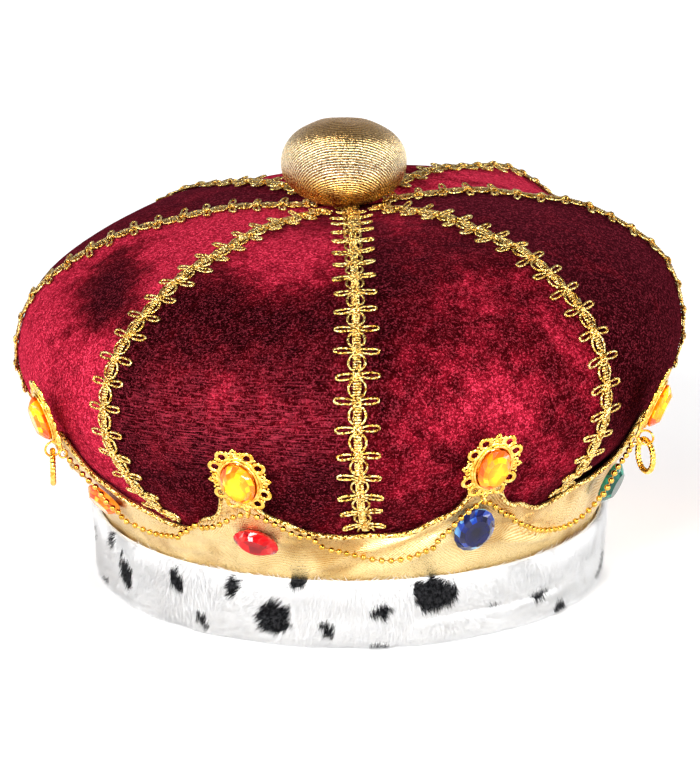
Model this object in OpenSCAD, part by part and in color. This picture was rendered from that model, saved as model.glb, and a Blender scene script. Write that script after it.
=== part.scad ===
// Costume crown: eight velvet gores over a gold lame band and a plush rim, with gold
// braid on the seams, a stuffed ball on top, jewels in filigree settings, cut stones
// on the band and three swags of beads over the front.
// Millimetres, +Z up, the front seam towards -Y, the origin at the middle of the opening.

/* [Plush rim] */
// Inner radius of the plush rim, for a head of about 59 cm
rim_inner_r = 94; // [92:0.5:95]
// Outer radius of the plush rim, pile included
rim_outer_r = 102.3; // [102:0.1:103.5]
// Height of the plush rim
rim_h = 27.7; // [27:0.1:30]
// Height of the notch that the band's foot stands on
rim_notch_z = 17.7; // [16.5:0.1:17.7]
// Depth of the crease in the plush at the right front
rim_crease = 1.4; // [0:0.1:2]
// How far the locks of pile stand in and out
rim_lock = 0.5; // [0:0.1:0.5]

/* [Velvet body] */
// Thickness of the velvet with its backing
velvet_wall = 2.2; // [1.5:0.1:3]
// Gap between neighbouring pieces of cloth
cloth_gap = 0.3; // [0.2:0.05:0.5]
// Rise of the body to its right, as a slope at 130 mm up
tilt_right = 0.059; // [0:0.001:0.08]
// Rise of the body to its back, as a slope at 130 mm up
tilt_back = 0.028; // [0:0.001:0.04]

/* [Gold band] */
// Thickness of the gold band
band_wall = 1.6; // [1:0.1:1.6]
// Gap between the velvet and the band over it
band_gap = 1.2; // [1.1:0.1:1.2]
// Height of the puckered folds beside each stone
band_fold = 2.4; // [0:0.1:3]
// Depth of the dimple behind each stone
band_dimple = 1.2; // [0:0.1:1.5]

/* [Seam braid] */
// Width of the braid over its leaf loops
braid_w = 17; // [12:0.5:18]
// Width of the braid's plaited core
braid_core_w = 6.8; // [5:0.1:7]
// Distance from one pair of loops to the next
braid_pitch = 9.5; // [8:0.5:12]
// Thickness of the braid
braid_wall = 1.3; // [1:0.1:2]

/* [Top ball] */
// Width of the stuffed ball
ball_w = 49.4; // [44:0.2:54]
// Height of the stuffed ball
ball_h = 33.4; // [30:0.2:38]
// Radius of the gathered neck that passes through the gores
ball_neck_r = 5.6; // [4:0.1:5.7]

/* [Jewels] */
// Width of a filigree setting
setting_w = 24.5; // [22:0.5:26]
// Height of a filigree setting
setting_h = 30; // [28:0.5:32]
// Thickness of a setting's lace plate
setting_wall = 1.2; // [0.8:0.1:1.6]
// Width of a jewel stone
jewel_w = 13; // [11:0.5:14]
// Height of a jewel stone
jewel_h = 18; // [15:0.5:19]
// Rise of a cut stone from its back to its table
jewel_rise = 4.7; // [3:0.1:6]

/* [Bead swags] */
// Diameter of a bead
bead_d = 2.4; // [2:0.1:2.6]
// Distance from bead to bead
bead_pitch = 3.5; // [3.2:0.1:4]
// Diameter of the thread through the beads
thread_d = 0.6; // [0.5:0.05:0.7]
// Outer diameter of the rope rings at the ends of the swags
rope_ring_d = 14.5; // [12:0.5:16]
// Thickness of a rope ring
rope_ring_wire = 2.3; // [2:0.1:2.6]

/* [Hidden] */
GORES = [for (i = [1:8]) str("gore_", i)];
BRAIDS = [for (i = [1:8]) str("braid_", i)];
SETTINGS = [for (i = [1:8]) str("setting_", i)];
JEWELS = [for (i = [1:8]) str("jewel_stone_", i)];
BAND_STONES = [for (i = [1:8]) str("band_stone_", i)];
CHAINS = [for (i = [1:3]) str("bead_chain_", i)];
THREADS = [for (i = [1:3]) str("bead_thread_", i)];

// Seams and gores are counted from the front seam to the wearer's left, seen from the
// front to the right. A place on the body is (s, t): s in gores round the crown, and t
// in rows of the profile.
gore_count = 8;
gore_turn = 360 / gore_count;

// The body's profile at a seam, from the band's foot to the hole for the ball's neck.
// Columns: radius, height, puff of the cloth halfway between two seams
RADIUS = 0;
HEIGHT = 1;
PUFF = 2;
body_rows = [
    [95.3, 18.6, 0],
    [96.5, 27, 0],
    [101.7, 37, 1.5],
    [107, 50, 4],
    [112.7, 56.6, 1.5],
    [122.8, 68.9, -1.3],
    [131.2, 91.4, -2.4],
    [123, 118.6, -1.4],
    [95, 138.6, -2],
    [68.7, 145.1, 0],
    [44.5, 148.6, 0],
    [6.2, 146.6, 0]];
top_row = len(body_rows) - 1;
// Row where the velvet comes out of the band at a seam
base_row = 3;
// Rows above the base over which the feet of the seams settle
settle_rows = 3.5;
// Rows above and below the base over which a gore's extra puff at its foot fades
foot_puff_rows = 1.3;
// Height at which the tilt begins
tilt_z = 30;

// The eight seams, from the front one round to the right.
// Columns: turn of the seam's foot in degrees, lift of its foot, and extra puff of the
// gore after it in its upper half and at its foot
TURN = 0;
LIFT = 1;
CROWN_PUFF = 2;
FOOT_PUFF = 3;
seam_rows = [
    [2.1, -0.6, 0, 0],
    [-0.3, 2.1, 0, -5],
    [0, 2.9, -5, 0],
    [0, 1.7, -3, 0],
    [0, 0, -1, 0],
    [0, -2.2, 2, 0],
    [0, -3.7, 0, -5],
    [6.9, -3.8, 0, 0]];

// The band's upper edge from a seam to its peak under the gore's jewel.
// Columns: half the share of the way to the peak, rows above the base row
band_edge = [[0, 0], [0.1, 0.15], [0.2, 0.6], [0.3, 1.15], [0.4, 1.5], [0.5, 2.5]];
// Place of the peak across each gore
band_peaks = [0.5, 0.32, 0.5, 0.5, 0.5, 0.5, 0.66, 0.5];

// The jewels, one on each gore from the right of the front seam.
// Columns: place round the crown, row of the profile, then degrees of roll, of turn and
// of tip away from the face of the body, and how far the setting stands off
jewels = [
    [0.49, 5.5, 1, 0, 0, 0],
    [1.225, 5.84, 0, 14, 13, 3.4],
    [2.5, 5.4, 0, 0, 0, 0],
    [3.5, 5.4, 0, 0, 0, 0],
    [4.5, 5.4, 0, 0, 0, 0],
    [5.5, 5.4, 0, 0, 0, 0],
    [6.69, 5.9, 0, -9, 11, 2.3],
    [7.56, 5.45, -3, 0, 0, 0]];

// The stones on the band, one under each jewel.
// Columns: degrees round the crown, height, width and height of the stone, its roll, its
// sides, and its tip away from the face of the band
band_stones = [
    [21.4, 54.9, 16.4, 19, 0, 8, -9],
    [62.5, 52, 14.5, 17, 0, 10, 0],
    [112.5, 49.5, 15.5, 18, 0, 10, 0],
    [157.5, 48, 18, 11, 15, 10, 0],
    [-157.5, 46, 16.6, 18, 0, 8, -9],
    [-112.5, 45, 15.5, 18, 0, 10, 0],
    [-57, 51, 14.5, 16, 0, 10, 0],
    [-18.5, 48.6, 17.4, 10.2, 15, 10, 3]];
stone_colours = ["royalblue", "seagreen", "darkorange", "firebrick"];

// The swags of beads: the jewels that each one hangs between, and the places that it runs
// through. Columns of a place: degrees round the crown, height
swag_ends = [[6, 7], [7, 0], [0, 1]];
swag_rows = [
    [[-55.2, 69.2], [-53.2, 62.5], [-50.4, 57.2], [-48.9, 50.5], [-48.4, 43.6], [-46.2, 40.2],
        [-41.5, 40.2], [-36, 43.9], [-31, 47.8], [-26.6, 53], [-21, 58.8]],
    [[-17.6, 59.6], [-12.4, 54.6], [-7, 48.8], [-1.4, 42], [4.4, 38.4], [9.4, 38.9],
        [13, 43.4], [14.9, 50.4], [16.8, 57.6], [20.2, 64.4]],
    [[25, 61.1], [28.6, 56], [33.6, 47.8], [39, 41.6], [45.2, 38.4], [50.4, 37.4], [54.4, 39.6],
        [55.4, 45.5], [54.9, 53], [54.8, 60], [54.2, 66.5], [52.8, 73]]];
SWAG_COUNT = len(swag_rows);

// Room for the thread in a bead's bore
bead_bore_room = 1.15;

// Fineness of the meshed cloth, and the rows of velvet tucked behind the band
gore_cols = 8;
gore_rows = 14;
gore_tuck = 0.45;
gore_foot_row = base_row - gore_tuck;
band_cols = 10 * gore_count;
band_steps = [0, 0.16, 0.36, 0.56, 0.78, 1];
rim_cols = 56;

// Settings: bezel, lace, bails and the rope rings in them
bezel_w = 1.2;
bezel_h = 1;
bail_r = 1.5;
bail_wire = 0.9;
ring_bail_r = 2.8;
ring_play = 0.3;
side_bail_x = 5.6;
side_bail_lift = 1.4;
left_ring_turn = -86;
right_ring_turn = 112;
lobe_r = 2.75;
stone_gap = 0.2;
settle_gap = 0.8;

ball_x = -2.4;
ball_z = 164;
neck_foot_z = 138;

function lerp(a, b, f) = a + (b - a) * f;
function held(list, k) = list[max(0, min(len(list) - 1, k))];
function unit(v) = v / norm(v);

// Value on a smooth curve through the rows of a table
function smooth_row(rows, t) =
    let (
        i = max(0, min(floor(t), len(rows) - 2)),
        f = t - i,
        a = held(rows, i - 1),
        b = held(rows, i),
        c = held(rows, i + 1),
        d = held(rows, i + 2))
    (2 * b + (c - a) * f + (2 * a - 5 * b + 4 * c - d) * f ^ 2
        + (3 * b - a - 3 * c + d) * f ^ 3) / 2;

// Value of a seam column between two seams
function seam_value(s, column) =
    let (i = floor(s), f = s - i)
    lerp(seam_rows[(i + gore_count) % gore_count][column],
        seam_rows[(i + 1 + gore_count) % gore_count][column], f);

// Share of a seam's turn and lift that is left at a row
function foot_share(t) =
    t > base_row
        ? max(0, 1 - (t - base_row) / settle_rows) ^ 1.5
        : (max(0, t) / base_row) ^ 3;

// Share of the extra puff at a row: the upper half of a gore
function crown_share(t) = t < 5 || t > 10 ? 0 : sin(180 * (t - 5) / 5) ^ 2;

// The whole body leans a little, more so higher up
function tilted(p) =
    [p.x, p.y, p.z + (tilt_right * p.x + tilt_back * p.y) * max(0, p.z - tilt_z) / 100];

// A point on the velvet's face at place s and row t, moved out by out and aside by aside
function body_point(s, t, out = 0, aside = 0) =
    let (
        row = smooth_row(body_rows, t),
        run = smooth_row(body_rows, min(t + 0.05, top_row))
            - smooth_row(body_rows, max(t - 0.05, 0)),
        run_length = norm([run[RADIUS], run[HEIGHT]]),
        u = s - floor(s),
        swell = 1 - abs(2 * u - 1) ^ 2.2,
        gore = (floor(s) + gore_count) % gore_count,
        puff = row[PUFF] + seam_rows[gore][CROWN_PUFF] * crown_share(t)
            + seam_rows[gore][FOOT_PUFF] * bump(t - base_row, foot_puff_rows),
        lift = out + swell * puff,
        r = row[RADIUS] + lift * run[HEIGHT] / run_length,
        z = row[HEIGHT] - lift * run[RADIUS] / run_length
            + seam_value(s, LIFT) * foot_share(t),
        angle = gore_turn * s + seam_value(s, TURN) * foot_share(t) + aside / r * 180 / PI)
    tilted([r * sin(angle), -r * cos(angle), z]);

// Outward direction of the velvet's face
function body_normal(s, t) =
    unit(cross(body_point(s + 0.02, t) - body_point(s - 0.02, t),
        body_point(s, t + 0.05) - body_point(s, t - 0.05)));

// Row of the profile at a height
height_table = [for (k = [0:6]) [body_rows[k][HEIGHT], k]];
function row_at(z) = lookup(z, height_table);

// Place (s, t) of a point out from the velvet, given in degrees round the crown and height
function place_at(spot, out = 0) =
    let (
        s = spot[0] / gore_turn,
        first = body_point(s, row_at(spot[1]), out),
        u = s - (atan2(first.x, -first.y) - spot[0]) / gore_turn,
        second = body_point(u, row_at(2 * spot[1] - first.z), out))
    [u - (atan2(second.x, -second.y) - spot[0]) / gore_turn,
        row_at(3 * spot[1] - first.z - second.z)];

// Faces of a wall of cloth: columns round, rows up, the face first and then the back
function wall_faces(columns, rows, closed) =
    let (last = closed ? columns - 1 : columns - 2, top = rows - 1, back = columns * rows)
    concat(
        [for (c = [0:last], k = [0:top - 1])
            let (a = c * rows + k, e = (c + 1) % columns * rows + k)
            each [[a, a + 1, e + 1], [a, e + 1, e], [a + back, e + 1 + back, a + 1 + back],
                [a + back, e + back, e + 1 + back]]],
        [for (c = [0:last], edge = [0, 1])
            let (a = c * rows + edge * top, b = (c + 1) % columns * rows + edge * top)
            each edge == 0
                ? [[a, b, b + back], [a, b + back, a + back]]
                : [[a, b + back, b], [a, a + back, b + back]]],
        closed ? [] : [for (k = [0:top - 1], edge = [0, 1])
            let (a = edge * (columns - 1) * rows + k, b = a + 1)
            each edge == 0
                ? [[a, a + back, b + back], [a, b + back, b]]
                : [[a, b + back, a + back], [a, b, b + back]]]);

// A wall of cloth between two grids of points
module cloth_wall(face, back, closed = false) {
    polyhedron(
        points = concat([for (column = face) each column], [for (column = back) each column]),
        faces = wall_faces(len(face), len(face[0]), closed));
}

// A solid swept through like sections
module swept(sections, closed = false) {
    n = len(sections);
    m = len(sections[0]);
    last = closed ? n - 1 : n - 2;
    sides = [for (k = [0:last], j = [0:m - 1])
        let (
            next = (k + 1) % n,
            a = k * m + j,
            b = k * m + (j + 1) % m,
            c = next * m + (j + 1) % m,
            d = next * m + j)
        each [[a, b, c], [a, c, d]]];
    caps = closed ? [] : [for (j = [1:m - 2])
        each [[0, j + 1, j], [(n - 1) * m, (n - 1) * m + j, (n - 1) * m + j + 1]]];
    polyhedron(points = [for (section = sections) each section], faces = concat(sides, caps));
}

// Plush rim: a ring with a round foot, a thin upper lip outside the band, and pile that
// stands in uneven locks
// Columns: radius, height, share of the locks, share of the crease
rim_section = [
    [rim_inner_r + 1.5, 0, 0, 0],
    [rim_outer_r - 3, 0, 0, 0],
    [rim_outer_r - 1, 4, 1, 0.3],
    [rim_outer_r - 0.3, 9.5, 1, 0],
    [rim_outer_r - 0.5, 13.5, 0.6, 1],
    [rim_outer_r - 0.3, 18, 1, 0],
    [rim_outer_r, rim_h - 2, 0.3, 0],
    [rim_outer_r - 0.2, rim_h, 0, 0],
    [rim_outer_r - 0.85, rim_h, 0, 0],
    [rim_outer_r - 3.3, rim_notch_z, 0, 0],
    [rim_inner_r + 0.4, rim_notch_z, 0, 0],
    [rim_inner_r, 6, 0, 0]];
crease_from = 18;
crease_to = 66;
function rim_crease_share(a) =
    a < crease_from || a > crease_to ? 0
        : sin(180 * (a - crease_from) / (crease_to - crease_from)) ^ 0.5;
function lock(a, row) = sin(a * 17 + row * 67) * 0.6 + sin(a * 29 - row * 41) * 0.4;

module plush_rim() {
    color("whitesmoke")
        swept([for (c = [0:rim_cols - 1])
            let (a = 360 * c / rim_cols)
            [for (k = [0:len(rim_section) - 1])
                let (
                    row = rim_section[k],
                    r = row[0] + row[2] * rim_lock * lock(a, k)
                        - row[3] * rim_crease * rim_crease_share(a))
                [r * sin(a), -r * cos(a), row[1]]]], closed = true);
}

// Folds and dimples of the band near the stones: a fold beside each upper corner of a
// stone and a dimple behind it, within the reach of the stone
fold_places = [[-16, 6], [16, 5]];
fold_w = 5.2;
dimple_w = 8;
stone_reach = 30;
function bump(distance, width) = exp(-(distance / width) ^ 2);
stone_places = [for (stone = band_stones) place_at(stone)];
stone_seats = [for (spot = stone_places) body_point(spot[0], spot[1])];
function seat_offset(p, seat) =
    let (a = atan2(seat.x, -seat.y), d = p - seat)
    [d.x * cos(a) + d.y * sin(a), d.z];
function band_relief(s, t) =
    let (p = body_point(s, t))
    (t < base_row ? min(1, t) : 1)
    * max([for (seat = stone_seats)
        let (d = seat_offset(p, seat))
        norm(p - seat) > stone_reach ? 0
            : band_fold * (bump(norm(d - fold_places[0]), fold_w)
                    + bump(norm(d - fold_places[1]), fold_w))
                - (t < base_row ? band_dimple * bump(norm(d), dimple_w) : 0)]);
function band_top(s) =
    let (
        u = s - floor(s),
        peak = band_peaks[(floor(s) + gore_count) % gore_count],
        share = u < peak ? u / peak : (1 - u) / (1 - peak))
    base_row + lookup(share / 2, band_edge);
function band_column(s, out) =
    [for (f = band_steps)
        let (t = lerp(0, band_top(s), f))
        body_point(s, t, out + band_gap + band_relief(s, t))];

module gold_band() {
    color("goldenrod")
        cloth_wall(
            [for (c = [0:band_cols - 1]) band_column(gore_count * c / band_cols, band_wall)],
            [for (c = [0:band_cols - 1]) band_column(gore_count * c / band_cols, 0)],
            closed = true);
}

// One velvet gore, from behind the band to the hole at the top
module gore(i) {
    color("crimson")
        cloth_wall(
            [for (c = [0:gore_cols]) gore_column(i, c / gore_cols, 0)],
            [for (c = [0:gore_cols]) gore_column(i, c / gore_cols, -velvet_wall)]);
}
function gore_column(i, u, out) =
    [for (k = [0:gore_rows])
        body_point(i + u, lerp(gore_foot_row, top_row, k / gore_rows), out,
            (0.5 - u) * cloth_gap)];

// Rows of the profile against the length along a seam, for even steps of the braid
braid_foot_row = base_row + 0.17;
braid_top_row = 10.62;
braid_cuts = 80;
braid_step = (braid_top_row - braid_foot_row) / braid_cuts;
braid_table = [for (
    k = 0, t = braid_foot_row, run = 0;
    k <= braid_cuts;
    k = k + 1,
    run = run + norm(body_point(0, t) - body_point(0, t + braid_step)),
    t = t + braid_step) [run, t]];
braid_length = braid_table[braid_cuts][0];
// Most of a half width that the braid may take of its distance from the crown's middle
braid_room = 0.34;
braid_steps = 2 * floor(braid_length / braid_pitch);

// A toothed strip that lies on a seam, wide at each pair of loops and narrow between
function braid_edge(i, t, half_w, out) =
    let (
        centre = body_point(i, t),
        normal = body_normal(i, t),
        across = unit(body_point(i + 0.02, t) - body_point(i - 0.02, t)),
        reach = half_w / norm(body_point(i + 0.5, t) - centre) * 0.5,
        side = body_point(i + reach, t),
        rise = max(0, (side - centre) * normal))
    centre + across * half_w + normal * (out + rise);
module braid(i) {
    columns = [for (side = [-1, 1], out = [cloth_gap, cloth_gap + braid_wall])
        [for (k = [0:braid_steps])
            let (
                t = lookup(braid_length * k / braid_steps, braid_table),
                room = norm([body_point(i, t).x, body_point(i, t).y]) * braid_room,
                half_w = min(room, (k % 2 == 0 ? braid_core_w : braid_w) / 2))
            braid_edge(i, t, side * half_w, out)]];
    color("gold") cloth_wall([columns[1], columns[3]], [columns[0], columns[2]]);
}

// Stuffed ball with a gathered neck
module top_ball() {
    color("gold") {
        translate([0, 0, neck_foot_z]) cylinder(r = ball_neck_r, h = ball_z - neck_foot_z, $fn = 48);
        translate([ball_x, 0, ball_z]) rotate_extrude($fn = 64) polygon(concat(
            [[0, -ball_h / 2]],
            [for (a = [-80:10:80])
                [ball_w / 2 * cos(a) ^ 0.9, ball_h / 2 * sign(a) * abs(sin(a)) ^ 0.95]],
            [[0, ball_h / 2]]));
    }
}

// Places of the jewels: a frame of axes at each one
function plate_frame(s, t, roll, out, turn = 0, tip = 0) =
    let (
        face = body_normal(s, t),
        heading = atan2(face.x, -face.y) + turn,
        droop = asin(-face.z) + tip,
        level = [cos(heading), sin(heading), 0],
        normal = [sin(heading) * cos(droop), -cos(heading) * cos(droop), -sin(droop)],
        upright = cross(normal, level),
        across = level * cos(roll) - upright * sin(roll))
    [body_point(s, t, out), across, cross(normal, across), normal];
function placed(frame, p) = frame[0] + frame[1] * p.x + frame[2] * p.y + frame[3] * p.z;
module place(frame) {
    multmatrix([for (k = [0:2]) [frame[1][k], frame[2][k], frame[3][k], frame[0][k]]])
        children();
}
jewel_out = band_gap + band_wall + settle_gap;
jewel_frames = [for (jewel = jewels)
    plate_frame(jewel[0], jewel[1], jewel[2], jewel_out + jewel[5], jewel[3], jewel[4])];

// Bails, small rings soldered edge-on to the foot of a setting. The swags hang from one
// in the middle of a front setting and beside the middle of a side setting, whose
// middle bail carries a rope ring
function side_of(i) = i == 1 ? -1 : i == 6 ? 1 : 0;
function swag_bail(i) =
    [side_bail_x * side_of(i), -setting_h / 2 - bail_r + 0.5 + side_bail_lift * abs(side_of(i)),
        setting_wall / 2];
function ring_bail(i) =
    side_of(i) > 0
        ? [2.5, 2.7 - setting_h / 2, setting_wall / 2 + 2.7]
        : [-2.5, 2.2 - setting_h / 2, setting_wall / 2 + 3.3];
function bail_centre(i) = placed(jewel_frames[i], swag_bail(i));
module bail(p, r) {
    translate(p) rotate([0, 90, 0]) rotate_extrude($fn = 32) translate([r, 0])
        circle(d = bail_wire, $fn = 16);
}

module ellipse(w, h, points = 36) {
    polygon([for (k = [0:points - 1])
        let (a = 360 * k / points)
        [w / 2 * cos(a), h / 2 * sin(a)]]);
}

// Lace of the setting: twelve scallops, eight with a large hole and four with a small one
lace_angles = [for (k = [0:11]) k * 30];
module lace() {
    difference() {
        union() {
            ellipse(setting_w - 2 * lobe_r + 1.6, setting_h - 2 * lobe_r + 1.6);
            for (a = lace_angles)
                translate([(setting_w / 2 - lobe_r) * sin(a), (setting_h / 2 - lobe_r) * cos(a)])
                    circle(r = lobe_r, $fn = 24);
        }
        for (a = lace_angles)
            translate([(setting_w / 2 - lobe_r + 0.25) * sin(a),
                (setting_h / 2 - lobe_r + 0.25) * cos(a)])
                rotate(-a) ellipse(a % 90 == 0 ? 1.3 : 2, a % 90 == 0 ? 1.6 : 2.8, 12);
    }
}
module setting(i) {
    color("gold") place(jewel_frames[i]) {
        linear_extrude(setting_wall) lace();
        translate([0, 0, setting_wall / 2]) linear_extrude(setting_wall / 2 + bezel_h)
            difference() {
                ellipse(jewel_w + 2 * bezel_w + 2 * stone_gap, jewel_h + 2 * bezel_w + 2 * stone_gap);
                ellipse(jewel_w + 2 * stone_gap, jewel_h + 2 * stone_gap);
            }
        bail(swag_bail(i), bail_r);
        if (side_of(i) != 0) bail(ring_bail(i), ring_bail_r);
    }
}

// A cut stone: flat back, girdle, sloping facets and a table
module cut_stone(w, h, rise, sides) {
    girdle_z = rise * 0.35;
    ring = [for (k = [0:sides - 1]) let (a = 360 * k / sides) [w / 2 * cos(a), h / 2 * sin(a)]];
    table = [for (k = [0:sides - 1])
        let (a = 360 * (k + 0.5) / sides)
        [w * 0.29 * cos(a), h * 0.29 * sin(a)]];
    n = sides;
    polyhedron(
        points = concat(
            [for (p = ring) [p.x * 0.9, p.y * 0.9, 0]],
            [for (p = ring) [p.x, p.y, girdle_z]],
            [for (p = table) [p.x, p.y, rise]]),
        faces = concat(
            [[for (k = [0:n - 1]) k]],
            [for (k = [0:n - 1])
                let (e = (k + 1) % n)
                each [[k, n + k, n + e], [k, n + e, e], [n + k, 2 * n + k, n + e],
                    [n + e, 2 * n + k, 2 * n + e]]],
            [[for (k = [n - 1:-1:0]) 2 * n + k]]));
}
module jewel_stone(i) {
    color("orange") place(jewel_frames[i])
        translate([0, 0, setting_wall + stone_gap]) cut_stone(jewel_w, jewel_h, jewel_rise, 12);
}

// How far a stone stands off the velvet to lie on the highest points of the band behind it
function stone_out(stone, spot) =
    let (frame = plate_frame(spot[0], spot[1], stone[4], 0, 0, stone[6]))
    max([for (a = [0:15:345], reach = [0.15, 0.45])
        let (
            back = placed(frame, [stone[2] * reach * cos(a), stone[3] * reach * sin(a), 0]),
            under = place_at([atan2(back.x, -back.y), back.z]),
            out = band_gap + band_wall + band_relief(under[0], under[1]))
        (body_point(under[0], under[1], out) - back) * frame[3]]) + settle_gap;
module band_stone(i) {
    stone = band_stones[i];
    spot = stone_places[i];
    color(stone_colours[i % 4])
        place(plate_frame(spot[0], spot[1], stone[4], stone_out(stone, spot), 0, stone[6]))
            cut_stone(stone[2], stone[3], jewel_rise, stone[5]);
}

// Swags of beads that hang from bail to bail over the band
// Stand-off of the beads from the band, and more of it over a stone and over the hollow
// where the band meets the body
bead_gap = 1;
bead_out = band_gap + band_wall + bead_d / 2 + bead_gap;
stone_clear = jewel_rise + 3.6;
stone_clear_w = 11.5;
hollow_clear = 2.1;
hollow_rows = 0.8;
// How steeply the ends of a swag are drawn to their bails
bail_pull = 5;
swag_cuts = 60;
function swag_path(i, v) =
    let (
        spot = place_at(smooth_row(swag_rows[i], v * (len(swag_rows[i]) - 1)), bead_out),
        flat = body_point(spot[0], spot[1]),
        clear = max([for (seat = stone_seats) stone_clear * bump(norm(flat - seat), stone_clear_w)]))
    body_point(spot[0], spot[1], bead_out + band_relief(spot[0], spot[1]) + clear
        + hollow_clear * bump(spot[1] - base_row, hollow_rows));
function swag_point(i, v) =
    swag_path(i, v)
    + (bail_centre(swag_ends[i][0]) - swag_path(i, 0)) * (1 - v) ^ bail_pull
    + (bail_centre(swag_ends[i][1]) - swag_path(i, 1)) * v ^ bail_pull;
function swag_table(i) = [for (
    k = 0, run = 0;
    k <= swag_cuts;
    run = run + norm(swag_point(i, (k + 1) / swag_cuts) - swag_point(i, k / swag_cuts)),
    k = k + 1) [run, k / swag_cuts]];

// Bead centres: the first and the last stand one step from their bails
function bead_places(i) =
    let (
        table = swag_table(i),
        length = table[swag_cuts][0],
        steps = round(length / bead_pitch))
    [for (k = [1:steps - 1]) swag_point(i, lookup(length * k / steps, table))];
swag_beads = [for (i = [0:SWAG_COUNT - 1]) bead_places(i)];

// The thread's line: out of the first bail, through the beads and into the last bail. It
// leaves each bail on the side where the next bead hangs
thread_ends = [0.35, 1.15];
function thread_end(i, bead) =
    let (side = (bead - bail_centre(i)) * jewel_frames[i][1] > 0 ? 1 : -1)
    [for (x = thread_ends) placed(jewel_frames[i], swag_bail(i) + [side * x, 0, 0])];
function thread_line(i) =
    let (
        beads = swag_beads[i],
        first = thread_end(swag_ends[i][0], beads[0]),
        last = thread_end(swag_ends[i][1], beads[len(beads) - 1]))
    concat(first, beads, [last[1], last[0]]);

module bead_chain(i) {
    line = thread_line(i);
    color("gold") for (k = [2:len(line) - 3])
        let (along = line[k + 1] - line[k - 1])
        translate(line[k])
            rotate([0, acos(along.z / norm(along)), atan2(along.y, along.x)])
                difference() {
                    sphere(d = bead_d, $fn = 16);
                    cylinder(d = thread_d + bead_bore_room, h = 2 * bead_d, center = true, $fn = 16);
                }
}
thread_sides = 5;
module bead_thread(i) {
    line = thread_line(i);
    color("khaki") swept([for (k = [0:len(line) - 1])
        let (
            along = unit(held(line, k + 1) - held(line, k - 1)),
            aside = unit(cross(along, [line[k].x, line[k].y, 0])),
            outward = cross(aside, along))
        [for (j = [0:thread_sides - 1])
            let (a = 360 * j / thread_sides)
            line[k] + (aside * cos(a) + outward * sin(a)) * thread_d / 2]]);
}

// Rope ring that hangs in a side bail, with its turn about the upright line
module rope_ring(i, turn) {
    major_r = (rope_ring_d - rope_ring_wire) / 2;
    drop = ring_bail_r - bail_wire / 2 - rope_ring_wire / 2 - ring_play;
    color("gold") translate(placed(jewel_frames[i], ring_bail(i))) rotate([0, 0, turn])
        translate([0, 0, -drop - major_r]) rotate([90, 0, 0])
            rotate_extrude($fn = 48) translate([major_r, 0]) circle(d = rope_ring_wire, $fn = 24);
}

plush_rim();
gold_band();
top_ball();
rope_ring(6, left_ring_turn);  // rope_ring_left
rope_ring(1, right_ring_turn);  // rope_ring_right
for (i = [0:gore_count - 1]) {
    gore(i);
    braid(i);
    setting(i);
    jewel_stone(i);
    band_stone(i);
}
for (i = [0:SWAG_COUNT - 1]) {
    bead_chain(i);
    bead_thread(i);
}
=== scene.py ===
"""Costume crown: its looks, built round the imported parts.

Metres, +Z up, the front seam towards -Y. Tables of sizes are in millimetres, as the parts are drawn.
"""
import math
import random

import bmesh
import bpy
from mathutils import Matrix, Vector, noise


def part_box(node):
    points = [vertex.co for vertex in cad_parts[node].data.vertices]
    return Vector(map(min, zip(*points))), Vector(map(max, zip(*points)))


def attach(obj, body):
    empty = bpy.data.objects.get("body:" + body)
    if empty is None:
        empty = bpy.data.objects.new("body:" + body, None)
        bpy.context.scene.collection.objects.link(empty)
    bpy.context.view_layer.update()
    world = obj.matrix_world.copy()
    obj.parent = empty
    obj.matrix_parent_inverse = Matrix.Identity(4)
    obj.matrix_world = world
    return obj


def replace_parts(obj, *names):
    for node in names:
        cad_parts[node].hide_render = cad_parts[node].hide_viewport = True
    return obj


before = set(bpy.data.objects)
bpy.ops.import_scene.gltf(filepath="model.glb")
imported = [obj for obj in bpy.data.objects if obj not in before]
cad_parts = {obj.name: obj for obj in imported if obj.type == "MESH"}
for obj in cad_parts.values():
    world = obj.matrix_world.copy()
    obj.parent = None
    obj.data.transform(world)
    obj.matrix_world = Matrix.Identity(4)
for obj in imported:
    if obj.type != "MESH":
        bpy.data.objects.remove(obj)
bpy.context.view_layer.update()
MM = 0.001


# Studio: a white floor, a pale room with a dark ceiling, and five soft round lamps.
# The camera looks at the crown from a little above and a step to the left of its front seam.
CAMERA_DISTANCE = 1.385
CAMERA_RISE = math.radians(16.36)
CAMERA_TURN = math.radians(1.15)
CROWN_MIDDLE = Vector((0, 0, 0.080))
CAMERA_AIM = Vector((0, 0, 0.0743))
CAMERA_LENS = 164.46
FLOOR_SIZE = 40.0
FLOOR_DROP = 0.0004
FLOOR_COLOUR = (0.93, 0.93, 0.935, 1)
# Brightness of the room by height: the walls are light and the ceiling is dark, the back less lit
ROOM_TONES = ((0.5, 0.95), (0.60, 0.80), (0.74, 0.42), (0.88, 0.10), (1.0, 0.06))
BACK_SHARE = 0.85
# Columns: name, degrees to the right of the front, height, distance, width, watts
LAMPS = (
    ("key", -26, 0.90, 1.55, 0.7, 34),
    ("fill", 36, 0.48, 1.6, 0.5, 17),
    ("side", 88, 0.55, 1.7, 0.6, 9),
    ("left", -82, 0.50, 1.7, 0.6, 7),
    ("back", 170, 1.30, 2.1, 0.9, 40),
)
# Lamps that don't show in shiny things
HIDDEN_LAMPS = ("back",)


def set_out(name, data):
    """An object in the scene that holds a mesh, a curve, a lamp or a camera."""
    made = bpy.data.objects.new(name, data)
    bpy.context.scene.collection.objects.link(made)
    return made


def mesh_of(name, bm):
    """A mesh from finished work."""
    mesh = bpy.data.meshes.new(name)
    bm.to_mesh(mesh)
    bm.free()
    return mesh


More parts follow.
